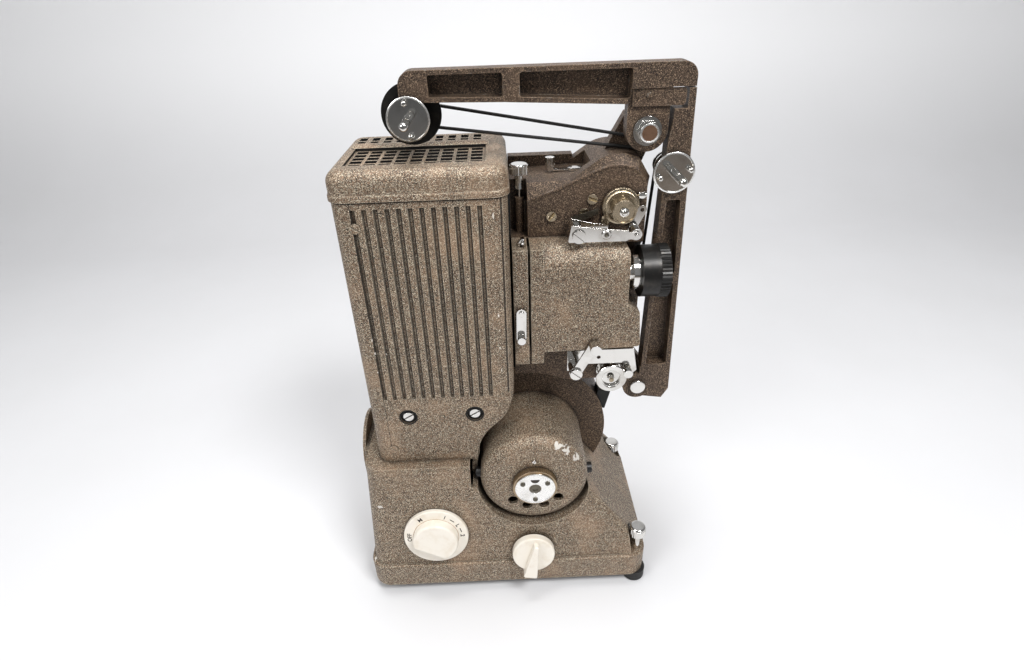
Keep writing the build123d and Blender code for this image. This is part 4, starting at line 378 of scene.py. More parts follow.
def metal(name, colour, stain, smooth, rough, blotch_mm=6.0, metallic=1.0):
    """A metal with blotches of stain, and with wiping marks in its roughness."""
    material, tree, shader, coords = start_material(name)
    clouds = add(tree, NOISE, {"Vector": coords, "Scale": scale_of(blotch_mm), **CLOUDY}, 0)
    wiped = add(tree, NOISE, {
        "Vector": coords, "Scale": scale_of(WIPE_MM), "Detail": 6.0, "Roughness": 0.7}, 0)
    blotches = add(tree, RAMP, {0: clouds, 1: 0.48, 2: 0.72, 4: 0.6}, 0, **SMOOTH)
    stained = add(tree, MIX, {0: blotches, 6: colour, 7: stain}, 2, **COLOUR)
    sheen = add(tree, RAMP, {0: wiped, 1: 0.3, 2: 0.7, 3: smooth, 4: rough}, 0, **SMOOTH)
    fill(tree, shader, {"Base Color": stained, "Roughness": sheen, "Metallic": metallic,
                        "Normal": relief(tree, wiped, 0.02, 0.12, 0.25)})
    return material


print("metals ready")

# %% [markdown]
# ## Plastic and rubber
# The dials are a moulded cream plastic that has yellowed unevenly, and the feet, stops and
# small black pieces are moulded too. A mould leaves a fine grain and soft edges, and dust
# dulls it in clouds, so both are in the material and not only in the colour. The real grain
# is finer than a pixel, so it is drawn 0.3 to 0.8 mm wide.

# %% Plastic and rubber
def moulded(name, colour, dull, rough, grain_mm=0.4, depth_mm=0.02, coat=0.0, dust=0.3):
    """A moulded piece with a fine grain, a little gloss and clouds of a duller colour."""
    material, tree, shader, coords = start_material(name)
    clouds = add(tree, NOISE, {"Vector": coords, "Scale": scale_of(9.0), **CLOUDY}, 0)
    grain = add(tree, NOISE, {
        "Vector": coords, "Scale": scale_of(grain_mm), "Detail": 5.0, "Roughness": 0.65}, 0)
    dulled = add(tree, RAMP, {0: clouds, 1: 0.42, 2: 0.75, 4: dust}, 0, **SMOOTH)
    dusty = add(tree, MIX, {0: dulled, 6: colour, 7: dull}, 2, **COLOUR)
    sheen = add(tree, RAMP, {0: grain, 1: 0.3, 2: 0.7, 3: rough - 0.07, 4: rough + 0.07}, 0, **SMOOTH)
    fill(tree, shader, {"Base Color": dusty, "Roughness": sheen, "Coat Weight": coat,
                        "Coat Roughness": 0.12, "Normal": relief(tree, grain, depth_mm, 0.3, 0.4)})
    return material


print("plastic and rubber ready")

# %% [markdown]
# ## Glass
# The lamp is blown glass, and the condenser lenses are ground and polished. Clean glass
# vanishes in a picture, so a faint smear takes a little of its shine and shows where it is.

# %% Glass
GLASS_IOR = 1.5
SMEAR = "#c9c9c0"


def glassy(name, tint, rough):
    """Clear glass with a faint smear."""
    material, tree, shader, coords = start_material(name)
    smear = add(tree, NOISE, {"Vector": coords, "Scale": scale_of(5.0), **CLOUDY}, 0)
    faint = add(tree, RAMP, {0: smear, 1: 0.4, 2: 0.8, 4: 0.3}, 0, **SMOOTH)
    smeared = add(tree, MIX, {0: faint, 6: tint, 7: SMEAR}, 2, **COLOUR)
    sheen = add(tree, RAMP, {0: smear, 1: 0.4, 2: 0.8, 3: rough, 4: rough + 0.06}, 0, **SMOOTH)
    fill(tree, shader, {"Base Color": smeared, "Roughness": sheen, "Transmission Weight": 0.9,
                        "IOR": GLASS_IOR})
    return material


print("glass ready")

# %% [markdown]
# ## The set of finishes
# The record names a material slot for each solid. Each slot gets its finish here, named for
# what the real piece is made of:
# - hammered enamel on the castings and sheet of the body, pale islands and dark veins
# - matt black paint on plates, which gives back almost no light
# - rubber feet and belts, black with a greyish bloom
# - black moulded plastic, smoother than rubber and faintly glossy
# - oiled iron on shafts, dark with soft glints
# - chrome, a near mirror that turns dark and light at once
# - satin steel, turned and wiped, with a broad grey shine
# - worn nickel on brass, grey with a yellow cast
# - clear glass
# - black anodised aluminium, darker than steel and with a tighter shine than paint
# - cream plastic, moulded and gone yellow in clouds

# %% The set of finishes
ENAMEL = {"light": "#fff0d4", "body": "#ba9a7c", "vein": "#2a1f17"}
LOOKS = {
    "hammer_paint": hammered("HammeredEnamel", **ENAMEL),
    "black_plate": moulded("BlackPlate", "#1d1c1b", "#3a3733", 0.55, grain_mm=0.8, depth_mm=0.05),
    "black_rubber": moulded("BlackRubber", "#151413", "#34302c", 0.62, grain_mm=0.5, depth_mm=0.03),
    "black_moulding": moulded("BlackMoulding", "#1a1918", "#37332e", 0.35, grain_mm=0.3, depth_mm=0.01,
                              coat=0.2),
    "dark_iron": metal("DarkIron", "#4a4744", "#2c2724", 0.35, 0.55),
    "bright_chrome": metal("BrightChrome", "#dcdad6", "#b3aea6", 0.06, 0.15, blotch_mm=14.0),
    "satin_steel": metal("SatinSteel", "#c2c0bb", "#8d8981", 0.24, 0.40),
    "nickel_brass": metal("NickelBrass", "#b8aa93", "#7d715f", 0.18, 0.34),
    "clear_glass": glassy("ClearGlass", "#eef2ee", 0.02),
    "black_anodised": metal("BlackAnodised", "#242322", "#3b3733", 0.28, 0.42, metallic=0.6),
    "cream_plastic": moulded("CreamPlastic", "#ebe4d8", "#dbceb9", 0.36, grain_mm=0.5, depth_mm=0.008,
                             coat=0.25, dust=0.55),
}
print("finishes", len(LOOKS))

# %% [markdown]
# ## Pieces with a look of their own
# The castings of the film path sit back in shadow, so they wear a darker copy of the same enamel
# as painted shade. The fluted cover, the cap, the motor and the base get the plain enamel, with
# painted shade in the flutes and vents, or with flakes. The rim of the inching knob is metal
# whose plating has dulled. One finish for all would be quicker, but then those castings would
# look as lit as the front.

# %% Pieces with a look of their own
MOTOR_FLAKES = ((42.5, -57.0, 155.0, 4.2), (49.3, -57.7, 150.3, 4.4), (57.5, -57.0, 142.0, 3.6))
BASE_FLAKES = ((-117.2, -60.2, 35.0, 2.4), (-104.6, -59.4, 98.6, 2.2), (-116.2, -60.8, 62.0, 1.7),
               (-113.8, -60.6, 84.0, 1.6), (-119.0, -60.0, 22.0, 1.6))
CAP_VENTS = (-96.0, -2.0, -33.0, 48.0, 362.5)
GRILLE_VENTS = (-99.0, 3.0, -40.0, 20.0, 300.0)
HEAVY_WEAR = 0.8
# A darker copy of the enamel, painted shade for the castings that sit back in shadow.
SHADED_ENAMEL = hammered("ShadedEnamel", "#bda083", "#6c5644", "#1d1510", HEAVY_WEAR)
OWN_LOOK = {
    "inching_knob": metal("KnobCollar", "#a8967e", "#6d5e4b", 0.28, 0.42),
    "lamp_house_front": hammered("FlutedEnamel", **ENAMEL, chips=HEAVY_WEAR, fluted=True),
    "lamp_house_cap": hammered("CapEnamel", **ENAMEL, pit=CAP_VENTS),
    "cap_grille": hammered("GrilleEnamel", **ENAMEL, pit=GRILLE_VENTS),
    "motor_housing": hammered("MotorEnamel", **ENAMEL, patches=MOTOR_FLAKES),
    "base_casting": hammered("BaseEnamel", **ENAMEL, patches=BASE_FLAKES),
}
for name in ("mechanism_casting", "blower_housing", "arm_bracket", "feed_arm", "latch_plate",
             "take_up_arm"):
    OWN_LOOK[name] = SHADED_ENAMEL
slot_of = {entry["node"]: entry["material_slot"] for entry in frame["record"]["subparts"]}
for name, thing in nodes.items():
    look = OWN_LOOK.get(name, LOOKS[slot_of[name]])
    thing.data.materials.clear()
    thing.data.materials.append(look)
print("own looks", len(OWN_LOOK), "of", len(nodes), "solids")

# %% [markdown]
# ## Turned fittings
# Most of the small fittings were turned on a lathe, so they come from a profile of radius and
# height. A modifier could sweep it too, but a few lines give even steps and, where a rim is
# knurled, teeth. Each fitting is drawn in its own little frame: x to the right, y up, and z out
# towards the viewer.

# %% Turned fittings
RIGHT, BACK, LEFT, UP, DOWN = (1, 0, 0), (0, 1, 0), (-1, 0, 0), (0, 0, 1), (0, 0, -1)


def facing(x, y, z, outward=(0, -1, 0), across=RIGHT):
    """The little frame of a fitting at a point of the drawing."""
    out = Vector(outward).normalized()
    side = Vector(across).normalized()
    turned_frame = Matrix((side, out.cross(side), out)).transposed().to_4x4()
    return Matrix.Translation(at(x, y, z)) @ turned_frame


def turned(bm, spot, profile, steps=48, wave=0.0, waves=0):
    """A profile of (radius, height) pairs in millimetres, swept round the z axis of the spot."""
    rings = []
    for r, h in profile:
        ring = []
        count = 1 if r <= 0 else steps
        for step in range(count):
            turn = 2 * math.pi * step / steps
            tooth = 1 if (step * waves * 2 // steps) % 2 else -1
            reach = r + (wave * tooth / 2 if waves and r > 0 else 0.0)
            point = Vector((reach * math.cos(turn), reach * math.sin(turn), h)) * MM
            ring.append(bm.verts.new(spot @ point))
        rings.append(ring)
    for low, high in zip(rings, rings[1:]):
        for step in range(steps):
            corners = [low[step % len(low)], low[(step + 1) % len(low)],
                       high[(step + 1) % len(high)], high[step % len(high)]]
            unique = list(dict.fromkeys(corners))
            if len(unique) > 2:
                bm.faces.new(unique)


print("turned fittings ready")

# %% [markdown]
# ## Flat fittings
# Straps, clips and plates were cut from sheet, so they come from an outline that is made thick.
# Its outer rim is taken off a little, because a cut edge is never quite sharp and catches a
# line of light. A Bevel modifier would do it too, but this takes two rings of points.

# %% Flat fittings
def plate(bm, spot, outline, low, high, inset=0.15):
    """An outline in millimetres made solid from low to high, with its outer rim taken off a little."""
    count = len(outline)
    middle = Vector((sum(p[0] for p in outline) / count, sum(p[1] for p in outline) / count))
    levels = []
    for h, shrink in ((low, 0.0), (high - inset, 0.0), (high, inset)):
        level = []
        for px, py in outline:
            away = Vector((px, py)) - middle
            if away.length > 0:
                away = away * (1 - shrink / away.length)
            level.append(bm.verts.new(spot @ (Vector((middle.x + away.x, middle.y + away.y, h)) * MM)))
        levels.append(level)
    for lower, upper in zip(levels, levels[1:]):
        for step in range(count):
            bm.faces.new((lower[step], lower[(step + 1) % count], upper[(step + 1) % count], upper[step]))
    bm.faces.new(levels[0][::-1])
    bm.faces.new(levels[-1])


print("flat fittings ready")

# %% [markdown]
# ## How a fitting joins the part
# A drawn shape becomes a piece when it has a name, a finish, which comes from a slot of the
# record where it has none of its own, and the body that it rides on, so that it moves with its
# joint. Its faces are smooth, apart from edges sharper than a limit, which is how turned metal
# looks.

# %% How a fitting joins the part
def keep(name, bm, body, slot, look=None, sharp=35.0):
    """Turns the drawn shape into a piece that rides on a body."""
    bmesh.ops.recalc_face_normals(bm, faces=bm.faces)
    mesh = bpy.data.meshes.new(name)
    bm.to_mesh(mesh)
    bm.free()
    for face in mesh.polygons:
        face.use_smooth = True
    mesh.set_sharp_from_angle(angle=math.radians(sharp))
    mesh.materials.append(look or LOOKS[slot])
    made = bpy.data.objects.new(name, mesh)
    bpy.context.scene.collection.objects.link(made)
    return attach(made, body)


def turned_piece(name, parts, body, slot, look=None, sharp=35.0):
    """A piece of turned shapes, each row a spot, a profile and what else turned() takes."""
    bm = bmesh.new()
    for part in parts:
        turned(bm, *part)
    return keep(name, bm, body, slot, look, sharp)


print("fittings can join the part")

# %% [markdown]
# ## The face of the switch dial
# The front of the base leans back by 12 mm in 100, and the dial lies flat on it, so whatever
# is on the dial leans with it. The marks stand on one circle, each turned to face the rim.

# %% The face of the switch dial
DRAFT_FRONT, DRAFT_RISE = 12.0, 100.0
DIAL_TILT = math.atan2(DRAFT_FRONT, DRAFT_RISE)
DIAL_OUT = (0.0, -math.cos(DIAL_TILT), math.sin(DIAL_TILT))
SWITCH_SPOT = facing(-60.5, -67.0 + DRAFT_FRONT * 0.32, 67.0, DIAL_OUT)
DIAL_FACE = 3.82
MARK_CIRCLE = 22.2


def on_dial(angle, lift):
    """A spot on the circle of the marks, with its top towards the rim."""
    turn = math.radians(angle)
    point = Vector((MARK_CIRCLE * math.cos(turn), MARK_CIRCLE * math.sin(turn), lift)) * MM
    return SWITCH_SPOT @ Matrix.Translation(point) @ Matrix.Rotation(turn - math.pi / 2, 4, "Z")


print("dial leans back", round(math.degrees(DIAL_TILT), 1), "degrees")

# %% [markdown]
# ## Marks on the switch dial
# The dial has five marks, and two dashes for the steps between them, filled with dark brown
# ink. They could be a picture on the dial, but letters of a real thickness stay sharp from any
# side and turn with it. The ink is matt and slightly uneven, as it is after years of hands.

# %% Marks on the switch dial
# The ink of the marks, used also for the painted shade of the knob's window.
INK_AND_WINDOW_SHADE = moulded("DialInkAndWindowShade", "#2b211b", "#4a3a2e", 0.5, grain_mm=0.3, depth_mm=0.004)
INK_HALF, MARK_SIZE, MARK_BOLD = 0.03, 4.9, 0.12
MARKS = (("OFF", 178.0), ("M", 122.0), ("1", 67.0), ("L", 32.0), ("2", 2.0))
DASHES = (49.0, 17.0)
DASH_OUTLINE = ((-2.2, -0.38), (2.2, -0.38), (2.2, 0.38), (-2.2, 0.38))


def letter_mesh(bm, text, spot):
    """Adds a raised letter, made a mesh before it is put in its place."""
    curve = bpy.data.curves.new("Letter", "FONT")
    curve.body = text
    curve.size = MARK_SIZE * MM
    curve.align_x = "CENTER"
    curve.align_y = "CENTER"
    curve.extrude = INK_HALF * MM
    curve.offset = MARK_BOLD * MM
    holder = bpy.data.objects.new("Letter", curve)
    bpy.context.scene.collection.objects.link(holder)
    bpy.context.view_layer.update()
    mesh = bpy.data.meshes.new_from_object(holder.evaluated_get(bpy.context.evaluated_depsgraph_get()))
    mesh.transform(spot)
    bm.from_mesh(mesh)
    bpy.data.meshes.remove(mesh)
    bpy.data.objects.remove(holder)


dial = bmesh.new()
for text, angle in MARKS:
    letter_mesh(dial, text, on_dial(angle, DIAL_FACE))
for angle in DASHES:
    plate(dial, on_dial(angle, 0.0), DASH_OUTLINE, DIAL_FACE - INK_HALF, DIAL_FACE + INK_HALF, 0.01)
keep("DialMarks", dial, "switch_body", "black_moulding", INK_AND_WINDOW_SHADE)
print("marks", len(MARKS), "dashes", len(DASHES))

# %% [markdown]
# ## The stain round the grip
# Old grease has crept into the seam between the dial and its grip, and shows as an orange
# brown line round most of it. A line in the plastic's colour would blur into the grip, so it is
# a ring of its own, as thin as a coat of paint.

# %% The stain round the grip
SEAM = moulded("SeamDirt", "#a4733c", "#7c5731", 0.6, grain_mm=0.3, depth_mm=0.004)
STAIN_OUTER, STAIN_INNER = 19.25, 18.9
STAIN_FROM, STAIN_SWEEP, STAIN_STEPS = -22.0, 196.0, 60
outer, inner = [], []
for step in range(STAIN_STEPS + 1):
    turn = math.radians(STAIN_FROM + STAIN_SWEEP * step / STAIN_STEPS)
    outer.append((STAIN_OUTER * math.cos(turn), STAIN_OUTER * math.sin(turn)))
    inner.append((STAIN_INNER * math.cos(turn), STAIN_INNER * math.sin(turn)))
stain = bmesh.new()
plate(stain, SWITCH_SPOT, outer + inner[::-1], DIAL_FACE - INK_HALF, DIAL_FACE + 0.04, 0.0)
keep("DialSeam", stain, "switch_body", "cream_plastic", SEAM)
print("stain is", round(STAIN_OUTER - STAIN_INNER, 2), "mm wide")

# %% [markdown]
# ## Screws
# The projector is held together by plain slotted screws, turned from brass or steel. They
# could be copied one by one, but all heads are alike apart from their size, so Geometry Nodes
# make one head, cut its slot, and put a copy on each place with the slot left at any angle, as
# a hand leaves it.

# %% A slotted head
SLOT_DEPTH = 0.55
HEAD_TAPER = 0.88


def slotted_head(tree, given):
    """A cone with its top a little narrower than its foot, and a slot cut across it."""
    radius, height = given["Radius"], given["Height"]
    top = add(tree, MATHS, {0: radius, 1: HEAD_TAPER}, 0, operation="MULTIPLY")
    head = add(tree, "GeometryNodeMeshCone", {
        "Vertices": 36, "Radius Top": top, "Radius Bottom": radius, "Depth": height}, "Mesh")
    long = add(tree, MATHS, {0: radius, 1: 2.4}, 0, operation="MULTIPLY")
    wide = add(tree, MATHS, {0: radius, 1: 0.24, 2: 0.00024}, 0, operation="MULTIPLY_ADD")
    deep = add(tree, MATHS, {0: height, 1: 2 * SLOT_DEPTH}, 0, operation="MULTIPLY")
    size = add(tree, "ShaderNodeCombineXYZ", {"X": long, "Y": wide, "Z": deep}, 0)
    cutter = add(tree, "GeometryNodeMeshCube", {"Size": size}, "Mesh")
    lift = add(tree, "ShaderNodeCombineXYZ", {"Z": height}, 0)
    cutter = add(tree, "GeometryNodeTransform", {"Geometry": cutter, "Translation": lift}, 0)
    pair = {"Mesh 1": head, "Mesh 2": cutter}
    return add(tree, "GeometryNodeMeshBoolean", pair, 0, operation="DIFFERENCE")


print("slot depth", SLOT_DEPTH, "of the head")

# %% [markdown]
# The rest of the tree sets the head on every vertex of a mesh, points it outwards and turns it
# by chance, from a seed that is the same on each run. It ends in real geometry with its
# material, because copies that exist only in the tree would be lost in the export.

# %% The tree that spreads the heads
def screw_tree():
    """A node tree that sets a slotted head on every vertex of a mesh."""
    tree = bpy.data.node_groups.new("SlottedHeads", "GeometryNodeTree")
    tree.interface.new_socket("Heads", in_out="OUTPUT", socket_type="NodeSocketGeometry")
    for name, kind in (("Places", "Geometry"), ("Radius", "Float"), ("Height", "Float"),
                       ("Outward", "Vector"), ("Seed", "Int"), ("Finish", "Material")):
        tree.interface.new_socket(name, in_out="INPUT", socket_type="NodeSocket" + kind)
    given = add(tree, "NodeGroupInput").outputs
    stand = add(tree, "FunctionNodeAlignRotationToVector", {"Vector": given["Outward"]}, 0, axis="Z")
    spread = add(tree, "GeometryNodeInstanceOnPoints", {
        "Points": given["Places"], "Instance": slotted_head(tree, given), "Rotation": stand}, 0)
    limits = {3: math.pi, "Seed": given["Seed"]}
    chance = add(tree, "FunctionNodeRandomValue", limits, 1, data_type="FLOAT")
    spin = add(tree, "ShaderNodeCombineXYZ", {"Z": chance}, 0)
    spun = add(tree, "GeometryNodeRotateInstances", {
        "Instances": spread, "Rotation": spin, "Local Space": True}, 0)
    real = add(tree, "GeometryNodeRealizeInstances", {"Geometry": spun}, 0)
    finished = add(tree, "GeometryNodeSetMaterial", {"Geometry": real, "Material": given["Finish"]}, 0)
    add(tree, "NodeGroupOutput", {0: finished})
    return tree


SCREW_TREE = screw_tree()
print("screw tree has", len(SCREW_TREE.nodes), "nodes")

# %% [markdown]
# The tree runs as a modifier on a mesh that holds only the places. Its result is then kept as
# a plain mesh, which rides on one body like every other piece.

# %% Setting the screws
def screws(name, places, r, height, body, slot, outward=(0, -1, 0), look=None):
    """One piece of screw heads of one size, all facing one way."""
    finish = look or LOOKS[slot]
    mesh = bpy.data.meshes.new(name)
    mesh.from_pydata([at(*place) for place in places], [], [])
    made = bpy.data.objects.new(name, mesh)
    bpy.context.scene.collection.objects.link(made)
    modifier = made.modifiers.new("Heads", "NODES")
    modifier.node_group = SCREW_TREE
    values = {"Radius": r * MM, "Height": height * MM, "Outward": outward,
              "Seed": len(places) + int(10 * r), "Finish": finish}
    for item in SCREW_TREE.interface.items_tree:
        if item.in_out == "INPUT" and item.name in values:
            modifier[item.identifier] = values[item.name]
    result = bpy.data.meshes.new_from_object(made.evaluated_get(bpy.context.evaluated_depsgraph_get()))
    made.modifiers.clear()
    made.data = result
    result.name = name
    result.materials.clear()
    result.materials.append(finish)
    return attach(made, body)


print("screw setter ready")

# %% [markdown]
# ## Where the screws are
# The front shows two brass heads on the casting, two small rivets on the latch plate, painted
# over with it, and the oil screw of the motor. Those of the back, the side, the socket panel
# and the underside are out of the portrait's sight, and hold on what lies in front of them.

# %% Where the screws are
OLD_BRASS = metal("OldBrass", "#c9b48a", "#8a7650", 0.3, 0.45)
screws("RearCoverScrews", [(18, 56, 341), (101, 56, 341), (101, 56, 192), (18, 56, 240), (22, 56, 142)],
       2.6, 1.3, "root", "nickel_brass", BACK)
screws("LampHouseRearScrews", [(-94, 54, 342), (2, 54, 342), (-94, 54, 146), (2, 54, 146)],
       2.4, 1.2, "root", "nickel_brass", BACK)
screws("SidePanelScrews", [(-103.7, -25, 141), (-103.7, 33, 141), (-103.7, -25, 199), (-103.7, 33, 199)],
       1.9, 0.9, "root", "nickel_brass", LEFT)
screws("SocketPanelScrews", [(-119.5, -24, 66), (-119.5, 24, 66), (-119.5, 0, 141)],
       2.0, 1.0, "root", "bright_chrome", LEFT)
screws("CastingScrewHeads", [(40.7, -12.6, 326.2), (69.0, -12.6, 337.4)],
       3.1, 0.9, "root", "nickel_brass", look=OLD_BRASS)
screws("LatchRivets", [(95.8, -9.0, 404.1), (103.4, -9.0, 403.8)],
       1.7, 0.9, "feed_arm_body", "hammer_paint", look=SHADED_ENAMEL)
screws("MotorOilScrew", [(23.5, -60, 142.6)], 1.7, 1.6, "root", "bright_chrome")
screws("BottomScrews", [(-70, -40, 11), (-70, 40, 11), (60, -40, 11), (60, 40, 11)],
       2.6, 1.2, "root", "nickel_brass", DOWN)
print("screws set")

# %% [markdown]
# ## The upper sprocket
# A sprocket draws the film on by its holes. Its face is a nickelled cup with a bright screw in
# the middle, and behind it sits a flange with sixty teeth of knurl. The solid has its plain
# body, so these are turned on top of it and spin with it.

# %% Upper sprocket
UPPER_X, UPPER_Z = 88.6, 332.5
UPPER_FACE = ((8.15, -0.2), (8.3, 0.9), (8.0, 1.25), (7.2, 1.25), (7.0, 0.3), (3.4, 0.25), (0.0, 0.25))
UPPER_SCREW = ((3.3, 0.2), (3.2, 1.2), (2.6, 1.5), (2.3, 1.5), (2.2, 2.4), (1.6, 3.0), (0.0, 3.2))
UPPER_FLANGE = ((12.9, -1.5), (13.05, -1.2), (13.05, 0.9), (12.6, 1.5), (11.3, 1.7), (11.2, 2.6),
                (10.6, 3.0), (8.4, 3.1))
KNURL_DEPTH, KNURL_TEETH = 0.18, 60
spot = facing(UPPER_X, -25.0, UPPER_Z)
turned_piece("UpperSprocketFace", [(spot, UPPER_FACE, 56)], "upper_sprocket_shaft", "nickel_brass")
turned_piece("UpperSprocketScrew", [(spot, UPPER_SCREW, 32)], "upper_sprocket_shaft", "bright_chrome")
knurled = (facing(UPPER_X, -12.5, UPPER_Z), UPPER_FLANGE, 4 * KNURL_TEETH, KNURL_DEPTH, KNURL_TEETH)
turned_piece("UpperSprocketFlange", [knurled], "upper_sprocket_shaft", "nickel_brass", None, 20.0)
print("upper sprocket has", KNURL_TEETH, "teeth of knurl")

# %% [markdown]
# ## The lower sprocket
# The lower one shows a bright turned rim round a sunk disc, a small hub and a nickelled screw.
# The rim is a separate ring here, so that it can be brighter than the wheel that it sits on.

# %% Lower sprocket
LOWER_X, LOWER_Z = 87.5, 195.0
LOWER_RIM = ((12.2, -0.9), (12.3, -0.1), (11.9, 0.3), (8.1, 0.35), (7.7, 0.1), (7.6, -0.4))
LOWER_HUB = ((2.9, 0.0), (2.8, 0.9), (2.2, 1.2), (0.0, 1.25))
LOWER_SCREW = ((2.0, 0.0), (1.9, 0.7), (1.3, 1.0), (0.0, 1.05))
spot = facing(LOWER_X, -26.0, LOWER_Z)
turned_piece("LowerSprocketRim", [(spot, LOWER_RIM, 64), (spot, LOWER_HUB, 32)], "lower_sprocket_shaft",
             "bright_chrome")
turned_piece("LowerSprocketScrew", [(facing(LOWER_X, -27.2, LOWER_Z), LOWER_SCREW, 24)],
             "lower_sprocket_shaft", "nickel_brass")
print("lower sprocket is", 2 * LOWER_RIM[1][0], "mm across")

# %% [markdown]
# ## The upper keeper
# The keeper holds the film on the sprocket. A flat strap of dark steel ties its two ends
# together, over a polished boss at each, one with a screw in it. All of it rides on the
# keeper's body, so it swings open with the keeper. The strap ends short of the sprocket's
# flange, which it would otherwise meet when the keeper is open.

# %% Upper keeper
DARK_STEEL = metal("DarkSteel", "#6b665c", "#3d382f", 0.22, 0.4)
STRAP_OUTLINE = ((52.8, 319.5), (52.6, 325.6), (58.5, 327.6), (66.0, 329.8), (72.9, 331.9), (73.1, 328.2),
                 (68.0, 326.0), (60.0, 322.4))
SCREW_BOSS = ((3.5, 0.0), (3.4, 0.8), (2.9, 1.2), (1.6, 1.2), (1.5, 0.0))
PLAIN_BOSS = ((3.9, 0.0), (4.0, 3.8), (3.4, 4.4), (2.7, 4.4))
BOSS_SCREW = ((1.45, -0.2), (1.4, 0.7), (0.9, 1.0), (0.0, 1.0))
strap = bmesh.new()
plate(strap, facing(0, -13.6, 0), STRAP_OUTLINE, 0.0, 0.9)
keep("KeeperStrap", strap, "upper_keeper_body", "satin_steel", DARK_STEEL)
screw_end = facing(76.4, -30.2, 319.0)
turned_piece("KeeperBoss", [(screw_end, SCREW_BOSS, 32), (facing(57.8, -15.6, 318.2), PLAIN_BOSS, 36)],
             "upper_keeper_body", "bright_chrome")
turned_piece("KeeperScrew", [(screw_end, BOSS_SCREW, 20)], "upper_keeper_body", "satin_steel", DARK_STEEL)
print("keeper strap has", len(STRAP_OUTLINE), "corners")

# %% [markdown]
# ## Bush and guide stud
# A nickelled bush with four turns of thread stands under the upper sprocket, and a polished stud
# with an arm to the right guides the film at the casting's shoulder. At this size the thread
# reads as rings, so it is turned as four rings and not cut as a helix.

# %% Bush and guide stud
THREAD_TURNS, THREAD_PITCH = 4, 0.8
bush = [(2.9, 0.0)]
for step in range(THREAD_TURNS):
    bush += [(r, h + THREAD_PITCH * step) for r, h in ((2.9, 0.55), (2.4, 0.7), (2.4, 0.8))]
bush += [(2.4, 3.3), (0.0, 3.3)]
STUD = ((2.6, 0.0), (2.6, 4.6), (2.2, 5.2), (0.0, 5.3))
STUD_ARM = ((2.3, 0.0), (2.4, 0.4), (2.4, 4.6), (1.9, 5.3), (0.0, 5.4))
turned_piece("ThreadedBush", [(facing(78.6, -10.0, 322.4), bush, 32)], "root", "nickel_brass")
stud_parts = [(facing(102.6, -10.0, 340.0), STUD, 28),
              (facing(100.2, -13.2, 340.0, RIGHT, BACK), STUD_ARM, 28)]
turned_piece("GuideStud", stud_parts, "root", "bright_chrome")
print("bush has", len(bush), "points in its profile")

# %% [markdown]
# ## The curve of the casting's shoulder
# The shoulder of the mechanism casting rises and falls in one sweep. Six points were read off
# it, and a curve that passes through every point, and not only near it, joins them.

# %% The curve of the shoulder
SHOULDER = ((27.0, 338.2), (48.2, 346.3), (73.3, 357.2), (86.5, 359.6), (98.6, 356.2), (105.2, 346.5))


def smooth_path(points, steps=8):
    """A smooth line through the points, each an (x, z) pair."""
    made = []
    ends = (points[0],) + tuple(points) + (points[-1],)
    for a, b, c, d in zip(ends, ends[1:], ends[2:], ends[3:]):
        for step in range(steps):
            t = step / steps
            made.append([0.5 * (2 * b[i] + (c[i] - a[i]) * t
                                + (2 * a[i] - 5 * b[i] + 4 * c[i] - d[i]) * t * t
                                + (3 * b[i] - a[i] - 3 * c[i] + d[i]) * t ** 3) for i in (0, 1)])
    return made + [list(points[-1])]


shoulder_path = smooth_path(SHOULDER)
print("shoulder path has", len(shoulder_path), "points")

# %% [markdown]
# ## The line along the shoulder
# The front of the casting is sunk, and a raised line of its own enamel borders it along the
# shoulder. It is too fine for the solid, so a half round is swept along the path.

# %% The line along the shoulder
RIDGE_HALF, RIDGE_HIGH, RIDGE_FOOT = 1.15, 0.75, -9.9
RIDGE_STEPS = 9


def half_round(bm, path):
    """A ring of vertices across the path at each of its points."""
    rings = []
    for index, (x, z) in enumerate(path):
        before, after = path[max(index - 1, 0)], path[min(index + 1, len(path) - 1)]
        side = Vector((-(after[1] - before[1]), after[0] - before[0])).normalized()
        ring = []
        for step in range(RIDGE_STEPS):
            turn = math.pi * step / (RIDGE_STEPS - 1)
            reach = RIDGE_HALF * math.cos(turn)
            depth = RIDGE_FOOT - RIDGE_HIGH * math.sin(turn)
            ring.append(bm.verts.new(at(x + reach * side.x, depth, z + reach * side.y)))
        rings.append(ring)
    return rings


ridge = bmesh.new()
rings = half_round(ridge, shoulder_path)
for low, high in zip(rings, rings[1:]):
    for step in range(RIDGE_STEPS):
        after = (step + 1) % RIDGE_STEPS
        ridge.faces.new((low[step], low[after], high[after], high[step]))
ridge.faces.new(rings[0])
ridge.faces.new(rings[-1][::-1])
keep("CastingRidge", ridge, "root", "hammer_paint", SHADED_ENAMEL)
print("ridge has", len(rings), "rings")

# %% [markdown]
# ## Reel discs and hexagon bolt
# Both reel discs and the bolt of the feed arm were faced on a lathe, so each shows a thin
# bright ring. The bolt's middle has worn to a brown patina. A ring in the material would need
# its own mask, so each is a small turned piece on the solid.

